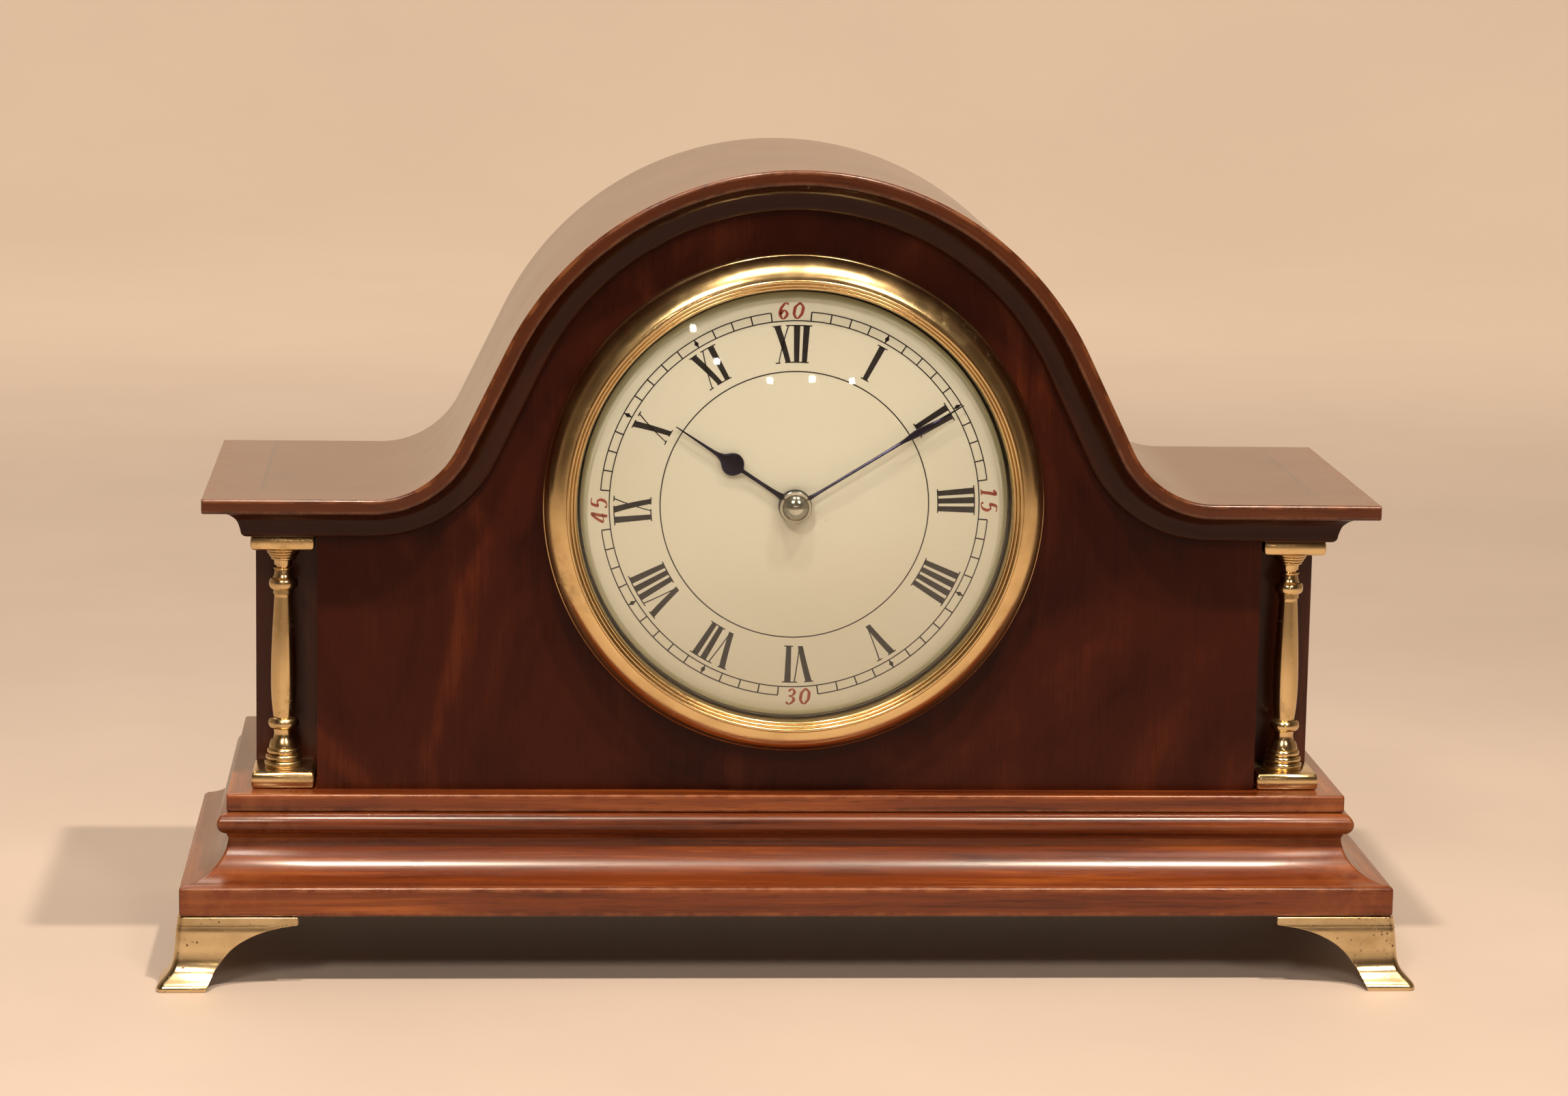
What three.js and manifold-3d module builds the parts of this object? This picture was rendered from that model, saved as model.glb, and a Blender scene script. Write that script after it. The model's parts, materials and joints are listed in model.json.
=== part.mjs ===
// A mantel timepiece: an arched mahogany case on brass bracket feet, with brass columns, a glazed
// four-inch dial and a round eight-day movement that is wound and set from behind.
// Millimetres, +Z up, the dial faces -Y. Every mesh is one separate piece of the clock.
import * as THREE from "three";
import { mergeVertices } from "three/addons/utils/BufferGeometryUtils.js";
import Module from "manifold-3d";

const wasm = await Module();
wasm.setup();

// ---- Driving dimensions ------------------------------------------------------------------
// Depths (Y) are counted from the front panel's face, heights (Z) from the surface it stands on.
const CASE_HALF_WIDTH = 109.9;
const CASE_BACK = 72.2;
const FOOT_HEIGHT = 14.6;
const FOOT_REACH = 24;
const FOOT_WALL = 1.5;
const FOOT_FLANGE = 1.2;
const FOOT_FLANGE_REACH = 12;
const BASE_PROUD = 14.4;
const BASE_BOARD_HEIGHT = 6.1;
const BASE_MOULDING_HEIGHT = 13.7;
const TOP_PLATE_PROUD = 5.3;
const TOP_PLATE_HEIGHT = 3.6;
const COLUMN_HEIGHT = 52.6;
const COLUMN_SQUARE = 12.9;
const COLUMN_OVERHANG = 0.5;
const COLUMN_FORWARD = 0.2;
const COLUMN_CAP = 3;
const COLUMN_PLINTH = 3.5;
const CORNICE_HEIGHT = 5.9;
const ROOF_BOARD = 3.1;
const ROOF_PROUD = 9.8;
const DOME_RADIUS = 65.5;
const DOME_RISE = 1.7;
const DOME_SLOPE = THREE.MathUtils.degToRad(64);
const FLANK_RADIUS = 19;
const BACK_PANEL = 8;
const DIAL_DROP = 3.2;
const BEZEL_RADIUS = 51.3;
const BEZEL_TUBE = 44.6;
const BEZEL_WALL = 0.8;
const BEZEL_PROUD = 8;
const DIAL_PLATE = 0.8;
const DIAL_FACE = -3.2;
const GLASS_THICK = 1.4;
const GLASS_EDGE = -5.2;
const GLASS_RISE = 4.4;
const HOUR_HAND_LENGTH = 29.2;
const HAND_THICK = 0.5;
const BOSS_RADIUS = 3.3;
const BOSS_HEIGHT = 2.9;
const PLATE_RADIUS = 38;
const PLATE_THICK = 2;
const FRONT_PLATE_FACE = 4;
const PLATE_GAP = 24;
const PILLAR_RADIUS = 2;
const PIVOT_RADIUS = 0.6;
const ARBOR_RADIUS = 1;
const REAR_BEZEL_RADIUS = 43;
const REAR_OPENING = 36;
const REAR_BEZEL_PROUD = 1.8;
const REAR_TUBE_WALL = 1.4;
const DOOR_THICK = 1.4;
const HINGE_PIN_RADIUS = 0.6;
const STRAP_WIDTH = 8;
const STRAP_THICK = 1.2;
const KEY_WING = 9;
const KNOB_RADIUS = 5;

// Clearances.
const RUNNING = 0.08; // between a pivot and its hole
const SIDE_SHAKE = 0.2; // between a turning piece and what stands beside it
const SEAT = 0.15; // round a piece that drops into a hole
const COLUMN_GAP = 0.6; // between a column's square and the panel beside it
const HAND_GAP = 3.9; // between the minute hand's tip and the bezel's tube

// Tooth counts and modules of the going train and the motion work.
const BARREL_TEETH = 72;
const BARREL_MODULE = 0.45;
const SECOND_PINION = 12;
const SECOND_TEETH = 60;
const SECOND_MODULE = 0.42;
const CENTRE_PINION = 10;
const CENTRE_TEETH = 64;
const CENTRE_MODULE = 0.36;
const THIRD_PINION = 8;
const THIRD_TEETH = 60;
const THIRD_MODULE = 0.32;
const FOURTH_PINION = 8;
const FOURTH_TEETH = 60;
const FOURTH_MODULE = 0.28;
const ESCAPE_PINION = 6;
const ESCAPE_TEETH = 15;
const ESCAPE_RADIUS = 4.2;
const CANNON_TEETH = 10;
const MINUTE_WHEEL_TEETH = 30;
const MINUTE_PINION = 8;
const HOUR_TEETH = 32;
const MOTION_MODULE = 0.4;
const RATCHET_TEETH = 18;
const RATCHET_RADIUS = 7;

// ---- Levels and places worked out from them ----------------------------------------------
const RECESS_WIDTH = COLUMN_SQUARE - COLUMN_OVERHANG + COLUMN_GAP;
const RECESS_DEPTH = COLUMN_SQUARE - COLUMN_FORWARD + SIDE_SHAKE;
const BASE_TOP = FOOT_HEIGHT + BASE_BOARD_HEIGHT;
const MOULDING_TOP = BASE_TOP + BASE_MOULDING_HEIGHT;
const CASE_BOTTOM = MOULDING_TOP + TOP_PLATE_HEIGHT;
const SOFFIT = CASE_BOTTOM + COLUMN_HEIGHT;
const UNDER_ROOF = SOFFIT + CORNICE_HEIGHT;
const SHOULDER_TOP = UNDER_ROOF + ROOF_BOARD;
const DOME_CENTRE = SHOULDER_TOP + DOME_RISE;
const DIAL_CENTRE = DOME_CENTRE - DIAL_DROP;
const PANEL_HALF_WIDTH = CASE_HALF_WIDTH - RECESS_WIDTH;
const BACK_PLATE_FACE = FRONT_PLATE_FACE + PLATE_THICK + PLATE_GAP;
const TRAIN = FRONT_PLATE_FACE + PLATE_THICK;
const BEHIND_PLATES = BACK_PLATE_FACE + PLATE_THICK;
const STRAP_CENTRE = PLATE_RADIUS + 2;
const STRAP_REACH = Math.hypot(STRAP_CENTRE + STRAP_THICK, STRAP_WIDTH / 2) + SIDE_SHAKE;
// The panel's hole takes the bezel's tube, and the movement's straps pass through it too.
const DIAL_HOLE = Math.max(BEZEL_TUBE + SEAT, STRAP_REACH);
const MINUTE_HAND_LENGTH = BEZEL_TUBE - BEZEL_WALL - HAND_GAP;
const DOOR_FACE = CASE_BACK + REAR_BEZEL_PROUD + SIDE_SHAKE;

// ---- Finishes ----------------------------------------------------------------------------
const finish = (color, roughness, metalness) => ({ color, roughness, metalness });
const MAHOGANY_DARK = finish(0x3a120c, 0.3, 0);
const MAHOGANY = finish(0x6b2c15, 0.3, 0);
const BASE_WOOD = finish(0x7c3516, 0.28, 0);
const BRASS = finish(0xcfa048, 0.25, 1);
const PLATE_BRASS = finish(0xc79a4a, 0.4, 1);
const STEEL = finish(0x9a9da3, 0.25, 1);
const BLUED_STEEL = finish(0x141826, 0.3, 1);
const ENAMEL = finish(0xf0e6cc, 0.35, 0);
const GLASS = finish(0xdfe9e2, 0.05, 0);

// ---- Solids ------------------------------------------------------------------------------
function bare(geometry) {
  geometry.deleteAttribute("normal");
  geometry.deleteAttribute("uv");
  return mergeVertices(geometry, 1e-4);
}

function toSolid(geometry) {
  const g = bare(geometry);
  const vertProperties = g.attributes.position.array;
  const triVerts = new Uint32Array(g.index.array);
  return new wasm.Manifold(new wasm.Mesh({ numProp: 3, vertProperties, triVerts }));
}

function toGeometry(solid) {
  const mesh = solid.getMesh();
  const geometry = new THREE.BufferGeometry();
  geometry.setAttribute("position", new THREE.BufferAttribute(mesh.vertProperties, 3));
  geometry.setIndex(new THREE.BufferAttribute(mesh.triVerts, 1));
  return geometry;
}

const join = (first, ...rest) =>
  toGeometry(rest.reduce((body, next) => body.add(toSolid(next)), toSolid(first)));

const cut = (first, ...rest) =>
  toGeometry(rest.reduce((body, next) => body.subtract(toSolid(next)), toSolid(first)));

// Turns the triangles round if they face inwards, told by the sign of the volume that they enclose.
function outward(geometry) {
  const g = bare(geometry);
  const [position, index] = [g.attributes.position, g.index];
  const corner = (i) => new THREE.Vector3().fromBufferAttribute(position, index.getX(i));
  let volume = 0;
  for (let i = 0; i < index.count; i += 3)
    volume += corner(i).dot(corner(i + 1).cross(corner(i + 2)));
  if (volume < 0) index.array.reverse();
  return g;
}

const polar = (radius, angle, x = 0, z = 0) => [
  x + radius * Math.cos(angle),
  z + radius * Math.sin(angle),
];

// Points of an arc from one angle to another, both ends included.
function arc(radius, from, to, steps, x = 0, z = 0) {
  return Array.from({ length: steps + 1 }, (_, i) =>
    polar(radius, from + ((to - from) * i) / steps, x, z),
  );
}

const circle = (radius, sides, x = 0, z = 0) =>
  arc(radius, 0, 2 * Math.PI * (1 - 1 / sides), sides - 1, x, z);

// A hole's corners lie outside the pin's circle, so that the pin turns freely in the faceted hole.
const holeFor = (pinRadius, sides, x, z, gap = RUNNING) =>
  circle((pinRadius + gap) / Math.cos(Math.PI / sides), sides, x, z);

function flat(outline, holes = []) {
  const shape = new THREE.Shape(outline.map(([x, y]) => new THREE.Vector2(x, y)));
  shape.holes = holes.map((h) => new THREE.Path(h.map(([x, y]) => new THREE.Vector2(x, y))));
  return shape;
}

// An outline in X and Z, given its thickness from the front depth to the back depth.
function slab(outline, front, back, holes) {
  const options = { depth: back - front, bevelEnabled: false };
  const geometry = new THREE.ExtrudeGeometry(flat(outline, holes), options);
  return geometry.rotateX(Math.PI / 2).translate(0, back, 0);
}

// A piece turned about an axis along Y through x, z; the profile holds radius and depth.
function turned(profile, sides, x = 0, z = 0) {
  const points = profile.map(([r, y]) => new THREE.Vector2(r, y));
  return outward(new THREE.LatheGeometry(points, sides)).translate(x, 0, z);
}

// The same about a vertical axis; the profile holds radius and height.
function turnedUpright(profile, sides, x = 0, y = 0) {
  return turned(profile, sides).rotateX(Math.PI / 2).translate(x, y, 0);
}

const closed = (profile) => [...profile, profile[0]];

function block(x0, x1, y0, y1, z0, z1) {
  const box = new THREE.BoxGeometry(x1 - x0, y1 - y0, z1 - z0);
  return box.translate((x0 + x1) / 2, (y0 + y1) / 2, (z0 + z1) / 2);
}

// A skin over a row of rings with the same number of corners, closed by a flat cap at each end.
// Each ring goes round anticlockwise as seen from the far end of the row.
function loft(rings, capPlane) {
  const corners = rings[0].length;
  const index = [];
  for (let k = 0; k + 1 < rings.length; k++)
    for (let i = 0; i < corners; i++) {
      const next = (i + 1) % corners;
      const [a, b] = [k * corners + i, k * corners + next];
      index.push(a, b, b + corners, a, b + corners, a + corners);
    }
  const cap = rings[0].map((p) => new THREE.Vector2(...capPlane(p)));
  const last = (rings.length - 1) * corners;
  const withRing = !THREE.ShapeUtils.isClockWise(cap);
  for (const triangle of THREE.ShapeUtils.triangulateShape(cap, [])) {
    const [i, j, k] = withRing ? triangle : triangle.reverse();
    index.push(k, j, i, last + i, last + j, last + k);
  }
  const geometry = new THREE.BufferGeometry();
  geometry.setAttribute("position", new THREE.Float32BufferAttribute(rings.flat(2), 3));
  geometry.setIndex(index);
  return outward(geometry);
}

// ---- The case ----------------------------------------------------------------------------
// The roof line from left to right, moved inward by a distance: shoulder, hollow flank, dome.
function roofLine(inward, halfWidth) {
  const radius = DOME_RADIUS - inward;
  const hollow = FLANK_RADIUS + inward;
  const hollowCentre = SHOULDER_TOP + FLANK_RADIUS;
  const drop = DOME_CENTRE + (DOME_RADIUS + FLANK_RADIUS) * Math.cos(DOME_SLOPE) - hollowCentre;
  const flank = drop / Math.sin(DOME_SLOPE);
  const hollowX =
    (DOME_RADIUS + FLANK_RADIUS) * Math.sin(DOME_SLOPE) + flank * Math.cos(DOME_SLOPE);
  const quarter = Math.PI / 2;
  const rightHalf = [
    ...arc(radius, quarter, quarter - DOME_SLOPE, 10, 0, DOME_CENTRE),
    ...arc(hollow, -quarter - DOME_SLOPE, -quarter, 5, hollowX, hollowCentre),
    [halfWidth, SHOULDER_TOP - inward],
  ];
  const leftHalf = rightHalf.slice(1).map(([x, z]) => [-x, z]);
  return [...leftHalf.reverse(), ...rightHalf];
}

function roofBoard() {
  const halfWidth = CASE_HALF_WIDTH + ROOF_PROUD;
  const outline = [
    ...roofLine(ROOF_BOARD, halfWidth),
    ...roofLine(0, halfWidth).reverse(),
  ];
  return slab(outline, -ROOF_PROUD, CASE_BACK);
}

// The cornice's section: how far it stands proud of the case, and how far below the roof board.
const CORNICE_SECTION = [
  [0, 0],
  [0, CORNICE_HEIGHT],
  [1, CORNICE_HEIGHT],
  [2.3, CORNICE_HEIGHT - 0.7],
  [2.7, CORNICE_HEIGHT - 2],
  [3.4, CORNICE_HEIGHT - 3.8],
  [5, CORNICE_HEIGHT - 5.1],
  [7.4, 0],
];

function corniceFront() {
  const ribs = CORNICE_SECTION.map(([proud, down]) =>
    roofLine(ROOF_BOARD + down, CASE_HALF_WIDTH + proud).map(([x, z]) => [x, -proud, z]),
  );
  const rings = ribs[0].map((_, i) => ribs.map((rib) => rib[i]));
  return loft(rings, ([, y, z]) => [y, z]);
}

function corniceReturn(side) {
  const ring = (depth) =>
    CORNICE_SECTION.map(([proud, down]) => [
      side * (CASE_HALF_WIDTH + proud),
      depth === undefined ? -proud : depth,
      UNDER_ROOF - down,
    ]);
  const rings = side < 0 ? [ring(CASE_BACK), ring()] : [ring(), ring(CASE_BACK)];
  return loft(rings, ([x, , z]) => [x, z]);
}

function frontPanel() {
  const outline = [
    [-PANEL_HALF_WIDTH, CASE_BOTTOM],
    [PANEL_HALF_WIDTH, CASE_BOTTOM],
    [PANEL_HALF_WIDTH, SOFFIT],
    [CASE_HALF_WIDTH, SOFFIT],
    ...roofLine(ROOF_BOARD, CASE_HALF_WIDTH).reverse(),
    [-CASE_HALF_WIDTH, SOFFIT],
    [-PANEL_HALF_WIDTH, SOFFIT],
  ];
  return slab(outline, 0, RECESS_DEPTH, [circle(DIAL_HOLE, 48, 0, DIAL_CENTRE)]);
}

function backPanel() {
  const outline = [
    [-CASE_HALF_WIDTH, CASE_BOTTOM],
    [CASE_HALF_WIDTH, CASE_BOTTOM],
    ...roofLine(ROOF_BOARD, CASE_HALF_WIDTH).reverse(),
  ];
  const opening = circle(REAR_OPENING + SEAT, 40, 0, DIAL_CENTRE);
  return slab(outline, CASE_BACK - BACK_PANEL, CASE_BACK, [opening]);
}

function sidePanel(side) {
  const [near, far] = [side * PANEL_HALF_WIDTH, side * CASE_HALF_WIDTH];
  const back = CASE_BACK - BACK_PANEL;
  const [left, right] = [Math.min(near, far), Math.max(near, far)];
  return block(left, right, RECESS_DEPTH, back, CASE_BOTTOM, UNDER_ROOF);
}

// A board whose edge is a moulding: flush at the back, standing proud at the front and both sides.
function mouldedBoard(section) {
  const rings = section.map(([proud, z]) => {
    const half = CASE_HALF_WIDTH + proud;
    return [
      [-half, -proud, z],
      [half, -proud, z],
      [half, CASE_BACK, z],
      [-half, CASE_BACK, z],
    ];
  });
  return loft(rings, ([x, y]) => [x, y]);
}

// The middle moulding, upwards: a wide hollow, a narrow waist and a round bead.
const HOLLOW_RADIUS = 8.8;
const BEAD_RADIUS = 2.1;
const BEAD_PROUD = 5.1;
const MIDDLE_SECTION = [
  ...arc(HOLLOW_RADIUS, -Math.PI / 2, -Math.PI, 6, BASE_PROUD - 0.6, BASE_TOP + HOLLOW_RADIUS),
  ...arc(BEAD_RADIUS, -Math.PI / 2, Math.PI / 2, 6, BEAD_PROUD, MOULDING_TOP - BEAD_RADIUS - 0.3),
  [TOP_PLATE_PROUD - 0.8, MOULDING_TOP],
];

// ---- Columns and feet --------------------------------------------------------------------
const COLUMN_X = CASE_HALF_WIDTH + COLUMN_OVERHANG - COLUMN_SQUARE / 2;
const COLUMN_Y = COLUMN_SQUARE / 2 - COLUMN_FORWARD;

function squareAt(x, y, z0, z1) {
  const half = COLUMN_SQUARE / 2;
  return block(x - half, x + half, y - half, y + half, z0, z1);
}

// Radii of the rings under the cap, each with its distance below the soffit.
const CAPITAL_LENGTH = 6.9;
const CAPITAL_RINGS = [
  [0, COLUMN_CAP - 0.2], [3.8, COLUMN_CAP - 0.2], [3.8, 4.1], [3.2, 4.3], [3.2, 5], [2.6, 5.2],
  [2.6, 6.2], [1.9, 6.4], [1.9, CAPITAL_LENGTH], [0, CAPITAL_LENGTH],
];

// Radii of the rings on the plinth, each with its height above the case's bottom.
const BASE_RING_LENGTH = 9.4;
const PLINTH_RINGS = [
  [0, COLUMN_PLINTH - 0.1], [3.9, COLUMN_PLINTH - 0.1], [3.9, 4.6], [3.4, 4.9], [3.4, 6.9], [2.6, 7.5],
  [2.6, BASE_RING_LENGTH], [0, BASE_RING_LENGTH],
];

// Radii down the shaft, each with its share of the length between the two.
const SHAFT_RINGS = [
  [0, 0], [1.6, 0], [1.6, 0.02], [2.1, 0.025], [2.1, 0.06], [2.95, 0.08], [2.95, 0.13], [2.1, 0.15],
  [1.95, 0.18], [2.3, 0.33], [2.55, 0.55], [2.65, 0.72], [2.2, 0.87], [3.2, 0.89], [3.2, 0.94], [2.2, 0.96],
  [2.2, 1], [0, 1],
];

function columnCapital(x) {
  const rings = CAPITAL_RINGS.map(([r, down]) => [r, SOFFIT - down]);
  return join(squareAt(x, COLUMN_Y, SOFFIT - COLUMN_CAP, SOFFIT), turnedUpright(rings, 16, x, COLUMN_Y));
}

function columnShaft(x) {
  const top = SOFFIT - CAPITAL_LENGTH;
  const length = COLUMN_HEIGHT - CAPITAL_LENGTH - BASE_RING_LENGTH;
  const rings = SHAFT_RINGS.map(([r, share]) => [r, top - share * length]);
  return turnedUpright(rings, 14, x, COLUMN_Y);
}

function columnPlinth(x) {
  const rings = PLINTH_RINGS.map(([r, up]) => [r, CASE_BOTTOM + up]);
  const square = squareAt(x, COLUMN_Y, CASE_BOTTOM, CASE_BOTTOM + COLUMN_PLINTH);
  return join(square, turnedUpright(rings, 16, x, COLUMN_Y));
}

// A bracket foot: two leaves that meet at the corner and share an ogee outline. Each row holds the
// height as a share of the foot's, how far the leaf flares outwards, and how far it reaches inwards.
const FOOT_ROWS = [
  [0, 4.5, 5.3], [0.06, 4.5, 5.4], [0.2, 2.8, 6.6], [0.32, 1.5, 7.6], [0.52, 1.2, 9.6],
  [0.71, 0.9, 12.6], [0.82, 0.7, 16], [0.89, 0.4, 19.5], [0.92, 0.2, FOOT_REACH],
];

function footCorner(flare, reach, web) {
  return [
    [-flare, -flare], [reach, -flare], [reach, FOOT_WALL - flare],
    [web, web], [FOOT_WALL - flare, reach], [-flare, reach],
  ];
}

function bracketFoot(side, end) {
  const rows = FOOT_ROWS.map(([share, flare, reach]) => ({
    z: share * FOOT_HEIGHT,
    corner: footCorner(flare, reach, FOOT_WALL - flare),
  }));
  const under = FOOT_HEIGHT - FOOT_FLANGE;
  rows.push({ z: under, corner: footCorner(0, FOOT_REACH, FOOT_FLANGE_REACH) });
  rows.push({ z: FOOT_HEIGHT, corner: footCorner(0, FOOT_REACH, FOOT_FLANGE_REACH) });
  rows.splice(-2, 0, { z: under - 0.01, corner: footCorner(0, FOOT_REACH, FOOT_WALL) });
  const cornerX = CASE_HALF_WIDTH + BASE_PROUD;
  const cornerY = end < 0 ? -BASE_PROUD : CASE_BACK;
  const rings = rows.map(({ z, corner }) => {
    const ring = corner.map(([x, y]) => [side * (cornerX - x), cornerY - end * y, z]);
    return side * end > 0 ? ring : ring.reverse();
  });
  return loft(rings, ([x, y]) => [x, y]);
}

// ---- The dial, its bezel and the hands ---------------------------------------------------
function bezel() {
  const inner = BEZEL_TUBE - BEZEL_WALL;
  const front = -BEZEL_PROUD;
  const profile = [
    [inner, TRAIN - PLATE_THICK - SIDE_SHAKE],
    [inner, GLASS_EDGE + SIDE_SHAKE],
    [inner + 1.1, GLASS_EDGE + SIDE_SHAKE],
    [inner + 1.1, GLASS_EDGE - GLASS_THICK - SIDE_SHAKE],
    [inner + 0.3, GLASS_EDGE - GLASS_THICK - SIDE_SHAKE],
    [inner + 0.6, front + 0.4],
    [BEZEL_RADIUS - 4.6, front],
    [BEZEL_RADIUS - 1.2, front + 2.2],
    [BEZEL_RADIUS, front + 5],
    [BEZEL_RADIUS, 0],
    [BEZEL_TUBE, 0],
    [BEZEL_TUBE, TRAIN - PLATE_THICK - SIDE_SHAKE],
  ];
  return turned(closed(profile), 40, 0, DIAL_CENTRE);
}

function bezelGlass() {
  const edge = BEZEL_TUBE - BEZEL_WALL + 1;
  const bow = (r) => GLASS_RISE * (1 - (r / edge) ** 2);
  const radii = [0, 0.5 * edge, 0.85 * edge, edge];
  const front = radii.map((r) => [r, GLASS_EDGE - GLASS_THICK - bow(r)]);
  const back = radii.map((r) => [r, GLASS_EDGE - bow(r)]);
  return turned([...front, ...back.reverse()], 40, 0, DIAL_CENTRE);
}

const HOUR_PIPE = 2.3;
const CANNON_PIPE = 1.5;
const DIAL_RADIUS = BEZEL_TUBE - BEZEL_WALL - SEAT;

function dial() {
  const back = DIAL_FACE + DIAL_PLATE;
  const hole = holeFor(HOUR_PIPE, 16, 0, DIAL_CENTRE, SIDE_SHAKE);
  return slab(circle(DIAL_RADIUS, 48, 0, DIAL_CENTRE), DIAL_FACE, back, [hole]);
}

// A hand drawn pointing up and then turned clockwise, as seen from the front, about the dial's centre.
function hand(outline, clockwise, pipe, front) {
  const turn = THREE.MathUtils.degToRad(-clockwise);
  const place = ([x, z]) => [
    x * Math.cos(turn) - z * Math.sin(turn),
    DIAL_CENTRE + x * Math.sin(turn) + z * Math.cos(turn),
  ];
  const hole = holeFor(pipe, 12, 0, DIAL_CENTRE, SEAT / 2);
  return slab(outline.map(place), front, front + HAND_THICK, [hole]);
}

const mirrored = (side) => [...side, ...side.map(([x, z]) => [-x, z]).reverse()];
const eye = (radius) => arc(radius, -Math.PI / 2 + 0.15, Math.PI / 2 - 0.35, 8);

// The minute hand swells where it crosses the numerals; the hour hand carries a pear.
const MINUTE_HAND_SWELL = [[0.35, 0.6], [0.75, 0.72], [0.6, 0.79], [0.2, 0.86]];
const MINUTE_HAND_OUTLINE = mirrored([
  ...eye(2.9), [0.35, 6],
  ...MINUTE_HAND_SWELL.map(([half, share]) => [half, share * MINUTE_HAND_LENGTH]),
  [0.12, MINUTE_HAND_LENGTH],
]);
const PEAR_CENTRE = 15.2;
const HOUR_HAND_OUTLINE = mirrored([
  ...eye(3.4), [0.4, 6], [0.45, 12.7],
  ...arc(2.3, -1.2, 0.75, 6, 0, PEAR_CENTRE), [0.9, 18], [0.45, 19.8], [0.3, 23], [0.14, HOUR_HAND_LENGTH],
]);

const HOUR_HAND_FRONT = DIAL_FACE - 1.6;
const MINUTE_HAND_FRONT = HOUR_HAND_FRONT - 1.2;

// The hands stand at about ten past ten.
const minuteHand = () => hand(MINUTE_HAND_OUTLINE, 58.2, CANNON_PIPE - SEAT, MINUTE_HAND_FRONT + 0.1);
const hourHand = () => hand(HOUR_HAND_OUTLINE, 303.4, HOUR_PIPE - SEAT, HOUR_HAND_FRONT);

function handBoss() {
  const back = MINUTE_HAND_FRONT - SEAT;
  const rounding = [[1, 0.5], [0.9, 0.76], [0.7, 0.92], [0.4, 0.98]];
  const profile = [
    [0, back], [BOSS_RADIUS, back],
    ...rounding.map(([across, out]) => [BOSS_RADIUS * across, back - BOSS_HEIGHT * out]),
    [0, back - BOSS_HEIGHT],
  ];
  return turned(profile, 20, 0, DIAL_CENTRE);
}

// ---- The movement ------------------------------------------------------------------------
// Places of the arbors, from the dial's centre. Meshing arbors lie their pitch radii apart.
const meshing = (module, wheel, pinion) => (module * (wheel + pinion)) / 2;
const BARREL_REACH = 19;
const BARREL_DIRECTION = THREE.MathUtils.degToRad(225);
const BARREL_AT = polar(BARREL_REACH, BARREL_DIRECTION);
const SECOND_DISTANCE = meshing(SECOND_MODULE, SECOND_TEETH, CENTRE_PINION);
const BARREL_DISTANCE = meshing(BARREL_MODULE, BARREL_TEETH, SECOND_PINION);
// The second wheel's arbor closes the triangle of the barrel and the centre.
const SECOND_COSINE =
  (SECOND_DISTANCE ** 2 + BARREL_REACH ** 2 - BARREL_DISTANCE ** 2) / (2 * SECOND_DISTANCE * BARREL_REACH);
const SECOND_AT = polar(SECOND_DISTANCE, BARREL_DIRECTION + Math.acos(SECOND_COSINE));
const THIRD_AT = polar(
  meshing(CENTRE_MODULE, CENTRE_TEETH, THIRD_PINION), THREE.MathUtils.degToRad(20),
);
const FOURTH_AT = polar(
  meshing(THIRD_MODULE, THIRD_TEETH, FOURTH_PINION), THREE.MathUtils.degToRad(135), ...THIRD_AT,
);
const ESCAPE_AT = polar(
  meshing(FOURTH_MODULE, FOURTH_TEETH, ESCAPE_PINION), THREE.MathUtils.degToRad(100), ...FOURTH_AT,
);
const PALLET_LINE = THREE.MathUtils.degToRad(160);
const LEVER_AT = polar(6.4, PALLET_LINE, ...ESCAPE_AT);
const BALANCE_AT = polar(13.6, PALLET_LINE, ...ESCAPE_AT);
const MINUTE_WHEEL_AT = polar(
  meshing(MOTION_MODULE, CANNON_TEETH, MINUTE_WHEEL_TEETH), THREE.MathUtils.degToRad(-70),
);

const ADDENDUM = 0.55;
const DEDENDUM = 1.15;
const TOOTH_TIP = 0.18;

// A toothed outline: a valley and two tip corners for each tooth. The phase, in teeth, turns it.
function toothed(teeth, module, phase = 0) {
  const tip = (module * teeth) / 2 + ADDENDUM * module;
  const root = (module * teeth) / 2 - DEDENDUM * module;
  const pitch = (2 * Math.PI) / teeth;
  return Array.from({ length: teeth }, (_, i) => {
    const middle = (i + phase) * pitch;
    return [
      polar(root, middle - pitch / 2),
      polar(tip, middle - (TOOTH_TIP * pitch) / 2),
      polar(tip, middle + (TOOTH_TIP * pitch) / 2),
    ];
  }).flat();
}

// The phase that puts a valley of this gear opposite a tooth of the gear that it meshes with.
function meshPhase(teeth, at, otherTeeth, otherPhase, otherAt) {
  const toOther = Math.atan2(otherAt[1] - at[1], otherAt[0] - at[0]);
  const fromOther = toOther + Math.PI;
  const otherTooth = (fromOther * otherTeeth) / (2 * Math.PI) - otherPhase;
  const offset = otherTooth - Math.round(otherTooth);
  return (toOther * teeth) / (2 * Math.PI) + 0.5 + offset;
}

const at = ([x, z], outline) => outline.map(([px, pz]) => [px + x, pz + z + DIAL_CENTRE]);

// The windows between the four crossings of a wheel.
function crossings(inner, outer, [x, z]) {
  return Array.from({ length: 4 }, (_, i) => {
    const from = (i * Math.PI) / 2 + 0.28;
    const to = ((i + 1) * Math.PI) / 2 - 0.28;
    return at([x, z], [...arc(outer, from - 0.12, to + 0.12, 5), ...arc(inner, to, from, 2)]);
  });
}

function wheelRim(teeth, module, phase, place, front, thick) {
  const root = (module * teeth) / 2 - DEDENDUM * module;
  const windows = crossings(3.2, root - 1.2, place);
  return slab(at(place, toothed(teeth, module, phase)), front, front + thick, windows);
}

const pinionLeaves = (teeth, module, phase, place, front, back) =>
  slab(at(place, toothed(teeth, module, phase)), front, back);

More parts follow.
